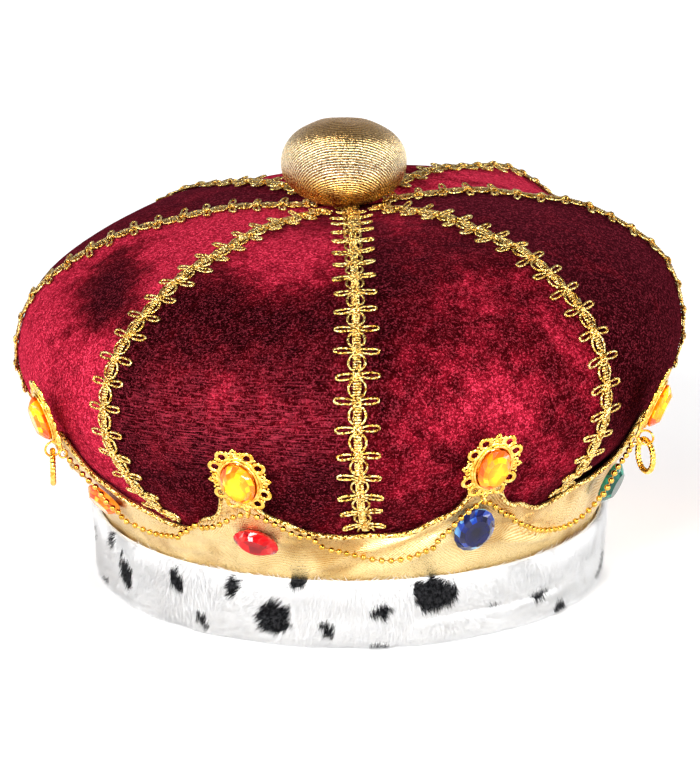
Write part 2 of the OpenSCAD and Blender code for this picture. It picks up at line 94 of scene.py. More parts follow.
def node(tree, kind, inputs=None, family="ShaderNode", **settings):
    """A node with its settings, and the values or links of its inputs."""
    made = tree.nodes.new(family + kind)
    for name, value in settings.items():
        setattr(made, name, value)
    for key, value in (inputs or {}).items():
        if isinstance(value, bpy.types.NodeSocket):
            tree.links.new(value, made.inputs[key])
        else:
            made.inputs[key].default_value = value
    return made


def maths(tree, operation, *values):
    """The result of a Math node."""
    return node(tree, "Math", dict(enumerate(values)), operation=operation).outputs[0]


def colours(tree, share, *stops):
    """A colour along a ramp. Each stop is a position and a colour."""
    made = node(tree, "ValToRGB", {0: share})
    while len(made.color_ramp.elements) < len(stops):
        made.color_ramp.elements.new(1)
    for element, (position, colour) in zip(made.color_ramp.elements, stops):
        element.position = position
        element.color = (*colour, 1)
    return made.outputs[0]


def mixed(tree, share, a, b, mode="MIX"):
    """Two colours mixed."""
    made = node(tree, "Mix", {0: share, 6: a, 7: b}, data_type="RGBA", blend_type=mode)
    return made.outputs[2]


def shader_group(name, inputs, outputs):
    """An empty group of shader nodes, and the nodes that its inputs and outputs are on."""
    group = bpy.data.node_groups.new(name, "ShaderNodeTree")
    for label, kind, value in inputs:
        socket = group.interface.new_socket(label, in_out="INPUT", socket_type="NodeSocket" + kind)
        if value is not None:
            socket.default_value = value
    for label, kind in outputs:
        group.interface.new_socket(label, in_out="OUTPUT", socket_type="NodeSocket" + kind)
    return group, group.nodes.new("NodeGroupInput"), group.nodes.new("NodeGroupOutput")


def material(name, **values):
    """A material, and its tree and shader. Names of sockets have _ for a space."""
    made = bpy.data.materials.new(name)
    made.use_nodes = True
    shader = made.node_tree.nodes["Principled BSDF"]
    for label, value in values.items():
        shader.inputs[label.replace("_", " ")].default_value = value
    return made, made.node_tree, shader


def bumped(tree, shader, height, strength, depth):
    """Gives a shader the fine relief of a height. The depth is in metres."""
    bump = node(tree, "Bump", {"Height": height, "Strength": strength, "Distance": depth})
    tree.links.new(bump.outputs[0], shader.inputs["Normal"])


# Speckle: fine grain from noise, spread to run from 0 to 1
speckle, source, result = shader_group(
    "speckle",
    (("Vector", "Vector", None), ("Scale", "Float", 500), ("Contrast", "Float", 2)),
    (("Value", "Float"),))
grain = node(speckle, "TexNoise", {"Vector": source.outputs[0], "Scale": source.outputs[1],
                                   "Detail": 2.5, "Roughness": 0.62})
centred = maths(speckle, "SUBTRACT", grain.outputs[0], 0.5)
spread = maths(speckle, "MULTIPLY_ADD", centred, source.outputs[2], 0.5)
clamped = node(speckle, "Clamp", {0: spread})
speckle.links.new(clamped.outputs[0], result.inputs[0])


def grains(tree, vector, scale, contrast=2.0):
    """Speckle on a surface, from 0 to 1."""
    return node(tree, "Group", {0: vector, 1: scale, 2: contrast}, node_tree=speckle).outputs[0]


def on_object(tree):
    """Places on the object, in metres."""
    return node(tree, "TexCoord").outputs["Object"]


floor_finish, tree, shader = material(
    "floor", Roughness=0.7, Emission_Color=(1, 1, 1, 1), Emission_Strength=0.12)
floor_shade = tuple(0.97 * c for c in FLOOR_COLOUR)
floor_tone = mixed(tree, grains(tree, on_object(tree), 3, 0.3), FLOOR_COLOUR, floor_shade)
tree.links.new(floor_tone, shader.inputs["Base Color"])
bm = bmesh.new()
bmesh.ops.create_grid(bm, x_segments=1, y_segments=1, size=FLOOR_SIZE / 2)
bmesh.ops.translate(bm, verts=bm.verts, vec=(0, 0, -FLOOR_DROP))
floor = set_out("floor", mesh_of("floor", bm))
floor.data.materials.append(floor_finish)

world = bpy.data.worlds.new("room")
world.use_nodes = True
tree = world.node_tree
background = tree.nodes["Background"]
ways = node(tree, "SeparateXYZ", {0: node(tree, "TexCoord").outputs["Generated"]})
level = maths(tree, "MULTIPLY_ADD", ways.outputs[2], 0.5, 0.5)
tones = colours(tree, level, *((place, (tone, tone, tone)) for place, tone in ROOM_TONES))
tree.links.new(tones, background.inputs[0])
backwards = maths(tree, "MULTIPLY_ADD", ways.outputs[1], 0.5, 0.5)
tree.links.new(maths(tree, "MULTIPLY_ADD", backwards, BACK_SHARE - 1, 1.0), background.inputs[1])
bpy.context.scene.world = world
bpy.context.scene.view_settings.view_transform = "Standard"

for name, turn, height, distance, width, watts in LAMPS:
    lamp = bpy.data.lights.new(name, "AREA")
    lamp.shape = "DISK"
    lamp.size = width
    lamp.energy = watts
    holder = set_out(name, lamp)
    holder.visible_glossy = name not in HIDDEN_LAMPS
    turn = math.radians(turn)
    holder.location = (distance * math.sin(turn), -distance * math.cos(turn), height)
    holder.rotation_euler = (CROWN_MIDDLE - holder.location).to_track_quat("-Z", "Y").to_euler()

camera_data = bpy.data.cameras.new("camera")
camera_data.lens = CAMERA_LENS
camera_data.clip_start = 0.05
camera = set_out("camera", camera_data)
camera.location = CROWN_MIDDLE + CAMERA_DISTANCE * Vector((
    -math.cos(CAMERA_RISE) * math.sin(CAMERA_TURN),
    -math.cos(CAMERA_RISE) * math.cos(CAMERA_TURN),
    math.sin(CAMERA_RISE)))
camera.rotation_euler = (CAMERA_AIM - camera.location).to_track_quat("-Z", "Y").to_euler()
bpy.context.scene.camera = camera


# Velvet body: eight gores of crushed crimson velvet, sewn edge to edge.
# A place on the body is (s, t): s in gores to the right of the front seam, and t in rows of
# the profile. Each gore is a sheet of cloth, drawn over its neighbours' seams by the stuffing.
# Columns: radius, height, puff of the cloth halfway between two seams
BODY_ROWS = (
    (95.3, 18.6, 0),
    (96.5, 27, 0),
    (101.7, 37, 1.5),
    (107, 50, 4),
    (112.7, 56.6, 1.5),
    (122.8, 68.9, -1.3),
    (131.2, 91.4, -2.4),
    (123, 118.6, -1.4),
    (95, 138.6, -2),
    (68.7, 145.1, 0),
    (44.5, 148.6, 0),
    (6.2, 146.6, 0),
)
TOP_ROW = len(BODY_ROWS) - 1
BASE_ROW = 3
SETTLE_ROWS = 3.5
# Columns: turn of a seam's foot in degrees, lift of its foot, and extra puff of the gore after it in
# its upper half and at its foot
SEAMS = (
    (2.1, -0.6, 0, 0),
    (-0.3, 2.1, 0, -5),
    (0, 2.9, -5, 0),
    (0, 1.7, -3, 0),
    (0, 0, -1, 0),
    (0, -2.2, 2, 0),
    (0, -3.7, 0, -5),
    (6.9, -3.8, 0, 0),
)
FOOT_PUFF_ROWS = 1.3
GORES = len(SEAMS)
GORE_TURN = 2 * math.pi / GORES
TILT_RIGHT = 0.059
TILT_BACK = 0.028
TILT_FROM = 30


def smooth_row(rows, t):
    """Values on a smooth curve through the rows of a table."""
    i = max(0, min(math.floor(t), len(rows) - 2))
    f = t - i
    a, b, c, d = (rows[max(0, min(len(rows) - 1, k))] for k in (i - 1, i, i + 1, i + 2))
    return [
        (2 * q + (r - p) * f + (2 * p - 5 * q + 4 * r - w) * f ** 2 + (3 * q - p - 3 * r + w) * f ** 3) / 2
        for p, q, r, w in zip(a, b, c, d)]


def seam_value(s, column):
    """A seam's value, or between two seams a mix of theirs."""
    i = math.floor(s)
    a, b = SEAMS[i % GORES][column], SEAMS[(i + 1) % GORES][column]
    return a + (b - a) * (s - i)


def foot_share(t):
    """How much of a seam's turn and lift is left at a row."""
    if t > BASE_ROW:
        return max(0, 1 - (t - BASE_ROW) / SETTLE_ROWS) ** 1.5
    return (max(0, t) / BASE_ROW) ** 3


def on_body(s, t, out=0.0, aside=0.0):
    """A point on the velvet's face, moved out and aside by millimetres."""
    radius, height, puff = smooth_row(BODY_ROWS, t)
    above = smooth_row(BODY_ROWS, min(t + 0.05, TOP_ROW))
    below = smooth_row(BODY_ROWS, max(t - 0.05, 0))
    run = Vector((above[0] - below[0], above[1] - below[1])).normalized()
    swell = 1 - abs(2 * (s - math.floor(s)) - 1) ** 2.2
    gore = SEAMS[math.floor(s) % GORES]
    puff += gore[2] * math.sin(math.pi * (t - 5) / 5) ** 2 if 5 <= t <= 10 else 0
    puff += gore[3] * math.exp(-((t - BASE_ROW) / FOOT_PUFF_ROWS) ** 2)
    lift = out + swell * puff
    foot = foot_share(t)
    radius += lift * run.y
    height += seam_value(s, 1) * foot - lift * run.x
    angle = GORE_TURN * s + math.radians(seam_value(s, 0)) * foot + aside / radius
    x, y = radius * math.sin(angle), -radius * math.cos(angle)
    lean = (TILT_RIGHT * x + TILT_BACK * y) * max(0, height - TILT_FROM) / 100
    return Vector((x, y, height + lean)) * MM


def out_of_body(s, t):
    """The outward direction of the velvet's face."""
    around = on_body(s + 0.02, t) - on_body(s - 0.02, t)
    return around.cross(on_body(s, t + 0.05) - on_body(s, t - 0.05)).normalized()


def shaped_sheet(columns, rows, size, shape, closed=False):
    """A grid of that size, in metres, with its UV map, whose unit square is carried to its place."""
    bm = bmesh.new()
    bmesh.ops.create_grid(bm, x_segments=columns, y_segments=rows, size=0.5)
    uv = bm.loops.layers.uv.new("UVMap")
    for face in bm.faces:
        for loop in face.loops:
            loop[uv].uv = ((loop.vert.co.x + 0.5) * size[0], (loop.vert.co.y + 0.5) * size[1])
    for vert in bm.verts:
        vert.co = shape(vert.co.x + 0.5, vert.co.y + 0.5)
    if closed:
        bmesh.ops.remove_doubles(bm, verts=bm.verts, dist=MM / 100)
    return bm


def piece(name, bm, finish, smooth=True):
    """A finished mesh as a piece of the crown."""
    mesh = mesh_of(name, bm)
    mesh.shade_smooth() if smooth else mesh.shade_flat()
    mesh.materials.append(finish)
    made = set_out(name, mesh)
    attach(made, "root")
    return made


def give_value(made, name, values):
    """A value for each point of a piece, for its material to read."""
    made.data.attributes.new(name, "FLOAT", "POINT").data.foreach_set("value", values)


def walled(made, thickness):
    """Gives a sheet its thickness, inwards."""
    wall = made.modifiers.new("wall", "SOLIDIFY")
    wall.thickness = thickness * MM
    wall.offset = -1
    return made


def blob(x, y, place):
    """A soft round patch: 1 in its middle and 0 far from it. Columns: x, y, half width, half height."""
    return math.exp(-((x - place[0]) / place[2]) ** 2 - ((y - place[1]) / place[3]) ** 2)


VELVET_WALL = 2.2
GORE_FOOT = BASE_ROW - 0.45
GORE_SEAM_GAP = 0.3
GORE_MESH = (40, 84)
GORE_CUT = (0.101, 0.202)
# How bright each gore is painted, for the sheen that its pile shows: painted sheen and shade
GORE_SHEEN = (0.43, 0.15, 0.72, 0.52, 0.62, 0.24, 0.74, 0.38)
# Patches of painted sheen and painted shade, where the pile looks lighter or darker.
# Columns: place s and row t of the middle, half width in gores, half height in rows, change
SHEEN_PATCHES = (
    (7.55, 9.4, 0.60, 0.9, 0.42),
    (7.55, 8.3, 0.30, 0.5, 0.14),
    (7.45, 7.75, 0.50, 0.42, -0.30),
    (7.10, 7.2, 0.14, 0.8, -0.12),
    (7.50, 5.0, 0.60, 0.8, -0.20),
    (7.06, 6.0, 0.08, 1.4, -0.16),
    (0.55, 6.3, 0.30, 0.9, 0.12),
    (0.35, 4.7, 0.60, 0.9, 0.02),
    (0.62, 7.9, 0.22, 0.5, 0.14),
    (0.16, 8.5, 0.24, 1.2, -0.24),
    (0.80, 8.8, 0.24, 0.8, -0.14),
    (0.08, 6.8, 0.07, 1.4, -0.12),
    (6.46, 7.9, 0.24, 0.42, -0.50),
    (6.74, 7.5, 0.26, 0.34, -0.46),
    (6.60, 9.4, 0.40, 0.7, 0.12),
    (1.40, 8.6, 0.30, 0.8, 0.08),
    (2.50, 7.0, 0.40, 0.6, -0.30),
    (3.40, 6.0, 0.36, 0.8, 0.26),
    (3.60, 8.0, 0.30, 0.6, -0.26),
    (4.45, 7.3, 0.40, 0.5, -0.40),
    (5.50, 5.4, 0.40, 0.8, 0.16),
)
# Where the weave of the backing grins through the pile
BARE_PATCH = (7.52, 6.2, 0.50, 0.75)
PUCKER_DEPTH = 0.35
PUCKER_REACH = 0.09


def velvet_dent(s, t):
    """Soft dents of the stuffed cloth, and the puckers that the seams' stitches draw in."""
    u = s - math.floor(s)
    edge = min(u, 1 - u)
    inside = min(1, edge / 0.12)
    place = on_body(s, t)
    dent = inside * (0.9 * noise.noise(place * 22) + 0.12 * noise.noise(place * 60))
    pucker = math.exp(-(edge / PUCKER_REACH) ** 2) * math.sin(t * 17 + 3 * noise.noise(place * 40))
    return dent - PUCKER_DEPTH * (0.5 + 0.5 * pucker) * min(1, edge / 0.02)


# Weave: ribs of a spacing and a turn across a UV map in metres, with a wander in their lines
weave, source, result = shader_group(
    "weave",
    (("Vector", "Vector", None), ("Spacing", "Float", 0.001), ("Turn", "Float", 0.0),
     ("Wander", "Float", 0.3)),
    (("Height", "Float"),))
turned = node(weave, "VectorRotate", {"Vector": source.outputs[0], "Angle": source.outputs[2]},
              rotation_type="Z_AXIS")
across = node(weave, "SeparateXYZ", {0: turned.outputs[0]})
drift = node(weave, "TexNoise", {"Vector": source.outputs[0], "Scale": 260, "Detail": 2})
count = maths(weave, "DIVIDE", across.outputs[0], source.outputs[1])
count = maths(weave, "MULTIPLY_ADD", drift.outputs[0], source.outputs[3], count)
wave = maths(weave, "SINE", maths(weave, "MULTIPLY", count, 2 * math.pi))
weave.links.new(maths(weave, "MULTIPLY_ADD", wave, 0.5, 0.5), result.inputs[0])


def ribs(tree, vector, spacing, turn, wander=0.3):
    """Height of woven ribs, from 0 to 1."""
    inputs = {0: vector, 1: spacing, 2: math.radians(turn), 3: wander}
    return node(tree, "Group", inputs, node_tree=weave).outputs[0]


velvet, tree, shader = material(
    "velvet", Roughness=0.85, Specular_IOR_Level=0.0, Sheen_Weight=0.07, Sheen_Roughness=0.4,
    Sheen_Tint=(1.0, 0.10, 0.20, 1))
place = on_object(tree)
# The velvet's colour paints the sheen and shade of its crushed pile: each gore's painted sheen, made ragged
# by broad and middle noise, drives a ramp from dark shade to light sheen
painted_sheen = node(tree, "Attribute", attribute_name="painted_sheen").outputs["Fac"]
crush_sheen = node(tree, "TexNoise", {"Vector": place, "Scale": 38, "Detail": 7, "Roughness": 0.74})
broad = maths(tree, "MULTIPLY_ADD", crush_sheen.outputs[0], 0.9, -0.45)
middle = maths(tree, "MULTIPLY_ADD", grains(tree, place, 150, 2.2), 0.18, -0.09)
sheen_level = maths(tree, "ADD", painted_sheen, maths(tree, "ADD", broad, middle))
cloth = colours(
    tree, sheen_level, (0.20, (0.013, 0.0006, 0.0008)), (0.42, (0.056, 0.0015, 0.0030)),
    (0.56, (0.175, 0.0042, 0.0115)), (0.74, (0.38, 0.012, 0.033)))
pile = grains(tree, place, 1900, 4.2)
tufts = node(tree, "TexVoronoi", {"Vector": place, "Scale": 1500}).outputs["Color"]
tuft = node(tree, "SeparateColor", {0: tufts}).outputs[0]
speck = maths(tree, "MULTIPLY_ADD", tuft, 0.55, maths(tree, "MULTIPLY", pile, 0.45))
# Painted shade between the pile's tufts and painted glints on their tips, multiplied into the colour
tuft_shade_and_glints = colours(tree, speck, (0.12, (0.34, 0.32, 0.32)), (0.55, (0.88, 0.82, 0.82)), (0.92, (2.0, 3.6, 2.9)))
cloth = mixed(tree, 1.0, cloth, tuft_shade_and_glints, "MULTIPLY")
# Tips of the pile that stand to the light show as bright specks, in the dark gores too
tips = colours(tree, speck, (0.58, (0, 0, 0)), (0.88, (0.12, 0.012, 0.022)))
cloth = mixed(tree, 1.0, cloth, tips, "ADD")
bare = node(tree, "Attribute", attribute_name="bare").outputs["Fac"]
yarns = node(tree, "Mapping", {
    0: node(tree, "UVMap").outputs[0], 2: (0, 0, math.radians(7)), 3: (160, 1900, 1)})
wale = node(tree, "TexNoise", {"Vector": yarns.outputs[0], "Scale": 1, "Detail": 2, "Roughness": 0.5})
grin = maths(tree, "MULTIPLY_ADD", wale.outputs[0], 7.0, -3.5)
grin = maths(tree, "MULTIPLY", maths(tree, "MINIMUM", maths(tree, "MAXIMUM", grin, 0.0), 1.0), bare)
cloth = mixed(tree, maths(tree, "MULTIPLY", grin, 0.6), cloth, (0.38, 0.03, 0.055, 1))
tree.links.new(cloth, shader.inputs["Base Color"])
bumped(tree, shader, pile, 0.3, 0.0004)

for i in range(GORES):
    def gore_point(u, v):
        """From the gore's left seam at u = 0 to its right one, and from its foot at v = 0."""
        s, t = i + u, GORE_FOOT + (TOP_ROW - GORE_FOOT) * v
        held = min(s, i + 0.9999)
        return on_body(held, t, velvet_dent(held, t), (0.5 - u) * GORE_SEAM_GAP)

    gore = piece(f"velvet_gore_{i + 1}", shaped_sheet(*GORE_MESH, GORE_CUT, gore_point), velvet)
    places = [
        (i + k % (GORE_MESH[0] + 1) / GORE_MESH[0],
         GORE_FOOT + (TOP_ROW - GORE_FOOT) * (k // (GORE_MESH[0] + 1)) / GORE_MESH[1])
        for k in range(len(gore.data.vertices))]
    give_value(gore, "painted_sheen", [
        GORE_SHEEN[i] + sum(patch[4] * blob(s, t, patch) for patch in SHEEN_PATCHES if int(patch[0]) == i)
        for s, t in places])
    give_value(gore, "bare", [blob(s, t, BARE_PATCH) for s, t in places])
    walled(gore, VELVET_WALL)
    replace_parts(gore, f"gore_{i + 1}")


# Seam braid: a plaited cord of round eyes with a leaf loop at each side of every crossing, in
# twisted gold thread, sewn flat over each seam. Threads are tubes along their own lines.
BRAID_FOOT_ROW = BASE_ROW + 0.17
BRAID_TOP_ROW = 10.78
BRAID_PITCH = 9.5
EYE_HALF_W = 3.05
EYE_END_HALF_W = 0.5
EYE_SHARE = 0.36
LEAF_ROOT = 0.7
LEAF_TIP = 8.0
LEAF_HALF_W = 1.2
# Longest a leaf may be near the top, where the seams meet, as a share of its distance from the middle
LEAF_ROOM = 0.34
KNOT_HALF_W = 1.3
LEAF_POINTS = 24
EYE_POINTS = 13
THREAD_R = 0.49
WRAP_HALF_W = 1.3
WRAP_PITCH = 1.0
THREAD_LIE = 0.75
BRAID_CUTS = 120


def thread_tubes(name, lines, radius, sides=6):
    """Tubes along closed or open lines of (point, thickness) in one mesh."""
    curve = bpy.data.curves.new(name, "CURVE")
    curve.dimensions = "3D"
    curve.bevel_depth = radius * MM
    curve.bevel_resolution = (sides - 4) // 2
    curve.use_fill_caps = True
    for line, closed in lines:
        spline = curve.splines.new("POLY")
        spline.points.add(len(line) - 1)
        for point, (place, thickness) in zip(spline.points, line):
            point.co = (*place, 1)
            point.radius = thickness
        spline.use_cyclic_u = closed
    holder = set_out(name, curve)
    tubes = bpy.data.meshes.new_from_object(holder.evaluated_get(bpy.context.evaluated_depsgraph_get()))
    bm = bmesh.new()
    bm.from_mesh(tubes)
    bpy.data.objects.remove(holder)
    bpy.data.meshes.remove(tubes)
    return bm


# Gold thread: round strands of bright foil wound on a core. A random grain paints dark shade, meant for the
# lay between them, and bright glints into its colour
gold_thread, tree, shader = material("gold_thread", Metallic=0.9, Roughness=0.27)
place = on_object(tree)
foil = grains(tree, place, 1000, 4.2)
tone = colours(tree, foil, (0.10, (0.12, 0.035, 0.003)), (0.38, (0.88, 0.47, 0.05)),
               (0.80, (1.0, 0.82, 0.36)))
tree.links.new(tone, shader.inputs["Base Color"])
bumped(tree, shader, foil, 0.8, 0.0003)

braid_rows = []
run = 0
for k in range(BRAID_CUTS + 1):
    t = BRAID_FOOT_ROW + (BRAID_TOP_ROW - BRAID_FOOT_ROW) * k / BRAID_CUTS
    if braid_rows:
        run += (on_body(0, t) - on_body(0, braid_rows[-1][1])).length / MM
    braid_rows.append((run, t))
braid_length = run
braid_pairs = math.floor(braid_length / BRAID_PITCH)
braid_pitch = braid_length / braid_pairs


def braid_row(along):
    """Row of the profile at a length along a seam."""
    k = max(0, min(BRAID_CUTS - 1, int(along / braid_length * BRAID_CUTS)))
    while k > 0 and braid_rows[k][0] > along:
        k -= 1
    while k < BRAID_CUTS - 1 and braid_rows[k + 1][0] < along:
        k += 1
    (a, p), (b, q) = braid_rows[k], braid_rows[k + 1]
    return p + (q - p) * (along - a) / (b - a)


def braid_point(i, along, aside, out):
    """A point of the braid: along the seam, aside from it and out from the velvet, in millimetres."""
    t = braid_row(along)
    half_gore = (on_body(i + 0.15, t) - on_body(i, t)).length / MM
    return on_body(i + 0.15 * aside / half_gore, t, out)


def twisted(count):
    """Thickness along a twisted thread: it swells and narrows with its lay."""
    return [1.12 if k % 2 else 0.86 for k in range(count)]


def eye_line(i, knot, side):
    """One of the two cords that part and meet in the eye below a crossing."""
    line = []
    for k, thick in enumerate(twisted(EYE_POINTS)):
        phase = k / (EYE_POINTS - 1)
        opened = max(0, 1 - ((phase - 0.5) / EYE_SHARE) ** 2)
        half_w = max(EYE_END_HALF_W, EYE_HALF_W * math.sqrt(opened))
        crossed = math.sin(math.pi * phase / 0.16) if phase < 0.08 else 1
        over = 0.5 if side > 0 and (phase < 0.2 or phase > 0.8) else 0
        along = knot + (phase - 1) * braid_pitch
        if -0.5 < along < braid_length:
            line.append((braid_point(i, max(0, along), side * half_w * crossed, THREAD_LIE + over), thick))
    return line


def leaf_line(i, knot, side):
    """A leaf loop beside a crossing, with a droop, a length and a rise of its own."""
    droop = math.radians(random.uniform(-11, 6))
    room = LEAF_ROOM * math.hypot(*braid_point(i, knot, 0, 0).xy) / MM
    reach = min(LEAF_TIP * random.uniform(0.93, 1.04), room)
    rise = random.uniform(0.0, 0.9)
    line = []
    for k, thick in enumerate(twisted(LEAF_POINTS)):
        angle = 2 * math.pi * k / LEAF_POINTS
        share = (1 - math.cos(angle)) / 2
        bulge = math.copysign(abs(math.sin(angle)) ** 0.7, math.sin(angle))
        x = LEAF_ROOT + (reach - LEAF_ROOT) * share
        y = LEAF_HALF_W * bulge * (0.5 + 0.5 * share ** 0.5)
        aside = x * math.cos(droop) - y * math.sin(droop)
        along = min(braid_length, max(0, knot + x * math.sin(droop) + y * math.cos(droop)))
        line.append((braid_point(i, along, side * aside, THREAD_LIE + rise * share ** 2), thick))
    return line


def knot_line(i, knot, side):
    """A strand that crosses over a knot."""
    line = []
    for k in range(4):
        x = KNOT_HALF_W * (k / 1.5 - 1)
        line.append((braid_point(i, knot + side * 0.9 * x, x, THREAD_LIE + 1.15 - 0.3 * x * x), 0.95))
    return line


def wrap_line(i, along):
    """A wrap of thread over the flat core, a little uneven."""
    line = []
    for step in (-1, -0.5, 0.5, 1):
        wrap = along + random.uniform(-0.1, 0.1)
        line.append((braid_point(i, wrap, WRAP_HALF_W * step, 1.25 - 0.5 * step ** 2), 0.95))
    return line


random.seed(11)
for i in range(GORES):
    threads = []
    for j in range(braid_pairs + 1):
        knot = (j + 0.5) * braid_pitch
        eyes = [eye_line(i, knot, side) for side in (-1, 1)]
        threads += [(line, False) for line in eyes if len(line) > 2]
        if knot <= braid_length - 1:
            threads += [(leaf_line(i, knot, side), True) for side in (-1, 1)]
            threads += [(knot_line(i, knot, side), False) for side in (-1, 1)]
    # The wraps of the core show in each eye
    for k in range(math.floor(braid_length / WRAP_PITCH)):
        threads.append((wrap_line(i, (k + 0.5) * WRAP_PITCH), False))
    braid = piece(f"seam_braid_{i + 1}", thread_tubes("threads", threads, THREAD_R), gold_thread)
    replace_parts(braid, f"braid_{i + 1}")


# Gold band: a strip of lame, gathered into a peak under each jewel and pulled in behind each
# stone, with a corded hem along its wavy upper edge. Its foot is sewn into the plush rim.
BAND_WALL = 1.6
BAND_GAP = 1.2
BAND_FOLD = 1.08
BAND_DIMPLE = 1.2
BAND_MESH = (560, 34)
BAND_CUT = (0.700, 0.070)
# Mean radius of the band, and the length of its leaning cloth for each millimetre of height
BAND_R = 108
BAND_LEAN = 1.25
HEM_R = 1.0
HEM_SET = 0.45
HEM_POINTS = 800
# Rows above the base row at each fifth of the way from a seam to the peak in its gore
BAND_EDGE = ((0,), (0.15,), (0.6,), (1.15,), (1.5,), (2.5,))
# Place of the peak across each gore
BAND_PEAKS = (0.5, 0.32, 0.5, 0.5, 0.5, 0.5, 0.66, 0.5)
FOLD_PLACES = ((-16, 6), (16, 5))
FOLD_W = 5.2
DIMPLE_W = 8
# Columns: degrees round the crown, height, width and height of the stone, roll, sides, tip, colour
BAND_STONES = (
    (21.4, 54.9, 16.4, 19, 0, 8, -9, "blue"),
    (62.5, 52, 14.5, 17, 0, 10, 0, "green"),
    (112.5, 49.5, 15.5, 18, 0, 10, 0, "orange"),
    (157.5, 48, 18, 11, 15, 10, 0, "red"),
    (-157.5, 46, 16.6, 18, 0, 8, -9, "blue"),
    (-112.5, 45, 15.5, 18, 0, 10, 0, "green"),
    (-57, 51, 14.5, 16, 0, 10, 0, "orange"),
    (-18.5, 48.6, 17.4, 10.2, 15, 10, 3, "red"),
)
# Folds that the gathers draw in the band.
# Columns: degrees and height of one end, degrees and height of the other, rise, half width
BAND_FOLDS = (
    (2, 42, 19, 61, 2.9, 2.3),
    (4, 37, 18, 54, -2.4, 2.0),
    (7, 34, 19, 48, 1.9, 2.4),
    (26, 60, 37, 47, 3.1, 2.3),
    (27, 50, 43, 40.5, -3.0, 1.9),
    (29, 42, 46, 36, 2.0, 2.3),
    (24, 64, 30, 53, -1.4, 1.5),
    (33, 52, 45, 45, 1.0, 1.8),
    (-13, 22, 3, 37, -1.3, 2.2),
    (-13, 29, 1, 42, 1.3, 2.2),
    (-31, 40, -24, 55, 1.0, 2.8),
    (-44, 41, -33, 45, -1.2, 2.2),
    (-40, 35, -30, 38, 0.9, 2.2),
    (-64, 38, -54, 44, 1.2, 2.4),
    (-60, 50, -66, 40, -1.2, 2.0),
)


def place_at(degrees, height, out=0):
    """The place (s, t) that lies at those degrees round the crown and that height."""
    s, t, aim = degrees / 45, 3.0, height
    for _ in range(12):
        point = on_body(s, t, out) / MM
        t += (aim - point.z) / 12
        s -= (math.degrees(math.atan2(point.x, -point.y)) - degrees) / 45
    return s, t


def bump_at(distance, width):
    """1 at the middle of a bump, fading to 0 well past its width."""
    return math.exp(-(distance / width) ** 2)


def from_seat(point, seat):
    """How far a point lies to the right of a stone's seat and above it, in millimetres."""
    angle = math.atan2(seat.x, -seat.y)
    away = (point - seat) / MM
    return away.x * math.cos(angle) + away.y * math.sin(angle), away.z


stone_places = [place_at(stone[0], stone[1]) for stone in BAND_STONES]
stone_seats = [on_body(*spot) for spot in stone_places]


def band_relief(t, point):
    """Folds beside each stone, and the dimple behind it, in millimetres."""
    relief = 0
    for seat in stone_seats:
        if (point - seat).length > 30 * MM:
            continue
        right, up = from_seat(point, seat)
        folds = sum(bump_at(math.hypot(right - x, up - y), FOLD_W) for x, y in FOLD_PLACES)
        dimple = BAND_DIMPLE * bump_at(math.hypot(right, up), DIMPLE_W) if t < BASE_ROW else 0
        relief = max(relief, BAND_FOLD * folds) if folds > 0.05 else relief - dimple
    return relief * min(1, max(0, t))


def fold_share(degrees, height, fold):
    """How much of a fold stands at a place: full along its middle and none past its ends."""
    to_mm = math.radians(BAND_R)
    ax, ay, bx, by = fold[0] * to_mm, fold[1] * BAND_LEAN, fold[2] * to_mm, fold[3] * BAND_LEAN
    px, py = degrees * to_mm, height * BAND_LEAN
    length = math.hypot(bx - ax, by - ay)
    along = ((px - ax) * (bx - ax) + (py - ay) * (by - ay)) / length ** 2
    off = abs((px - ax) * (by - ay) - (py - ay) * (bx - ax)) / length
    if along < -0.2 or along > 1.2 or off > 3 * fold[5]:
        return 0
    return math.sin(math.pi * (along + 0.2) / 1.4) ** 0.8 * bump_at(off, fold[5])


random.seed(5)
folds = list(BAND_FOLDS)
for stone in BAND_STONES[2:6]:
    for side in (-1, 1):
        x, z = stone[0] + side * random.uniform(2, 4), stone[1] + 9
        folds.append((x, z, x + side * random.uniform(12, 17), z - random.uniform(11, 16),
                      random.uniform(1.8, 2.6), random.uniform(2.0, 2.6)))
        folds.append((x, z - 7, x + side * random.uniform(12, 16), z - random.uniform(17, 20),
                      -random.uniform(1.4, 2.2), random.uniform(1.7, 2.2)))


def band_top(s):
    """Row of the band's upper edge."""
    u, peak = s - math.floor(s), BAND_PEAKS[math.floor(s) % GORES]
    share = u / peak if u < peak else (1 - u) / (1 - peak)
    return BASE_ROW + smooth_row(BAND_EDGE, 5 * share)[0]


def band_out(s, t):
    """How far the band's face stands off the velvet, in millimetres."""
    point = on_body(s, t)
    degrees = math.degrees(math.atan2(point.x, -point.y))
    height = point.z / MM
    seen = min(1, max(0, t - 0.9))
    creases = sum(fold[4] * fold_share(degrees, height, fold) for fold in folds)
    crumple = 0.5 * noise.noise(point * 60) + 0.08 * noise.noise(point * 220)
    below_hem = max(0, band_top(s) - t)
    held = min(1, 0.35 + below_hem / 0.9)
    return BAND_GAP + BAND_WALL + band_relief(t, point) + seen * held * (max(-1.8, creases) + crumple)


# Lame: a cloth of flat gold foil strips in a fine twill, shiny, and pale where it faces the light
lame, tree, shader = material("lame", Metallic=0.94, Roughness=0.3)
uv = node(tree, "UVMap").outputs[0]
place = on_object(tree)
twill = ribs(tree, uv, 0.00105, 58, 0.35)
cross = ribs(tree, uv, 0.00082, -34, 0.35)
foil = grains(tree, place, 1500, 2.6)
height = maths(tree, "MULTIPLY_ADD", cross, 0.25, maths(tree, "MULTIPLY", foil, 0.3))
height = maths(tree, "MULTIPLY_ADD", twill, 0.6, height)
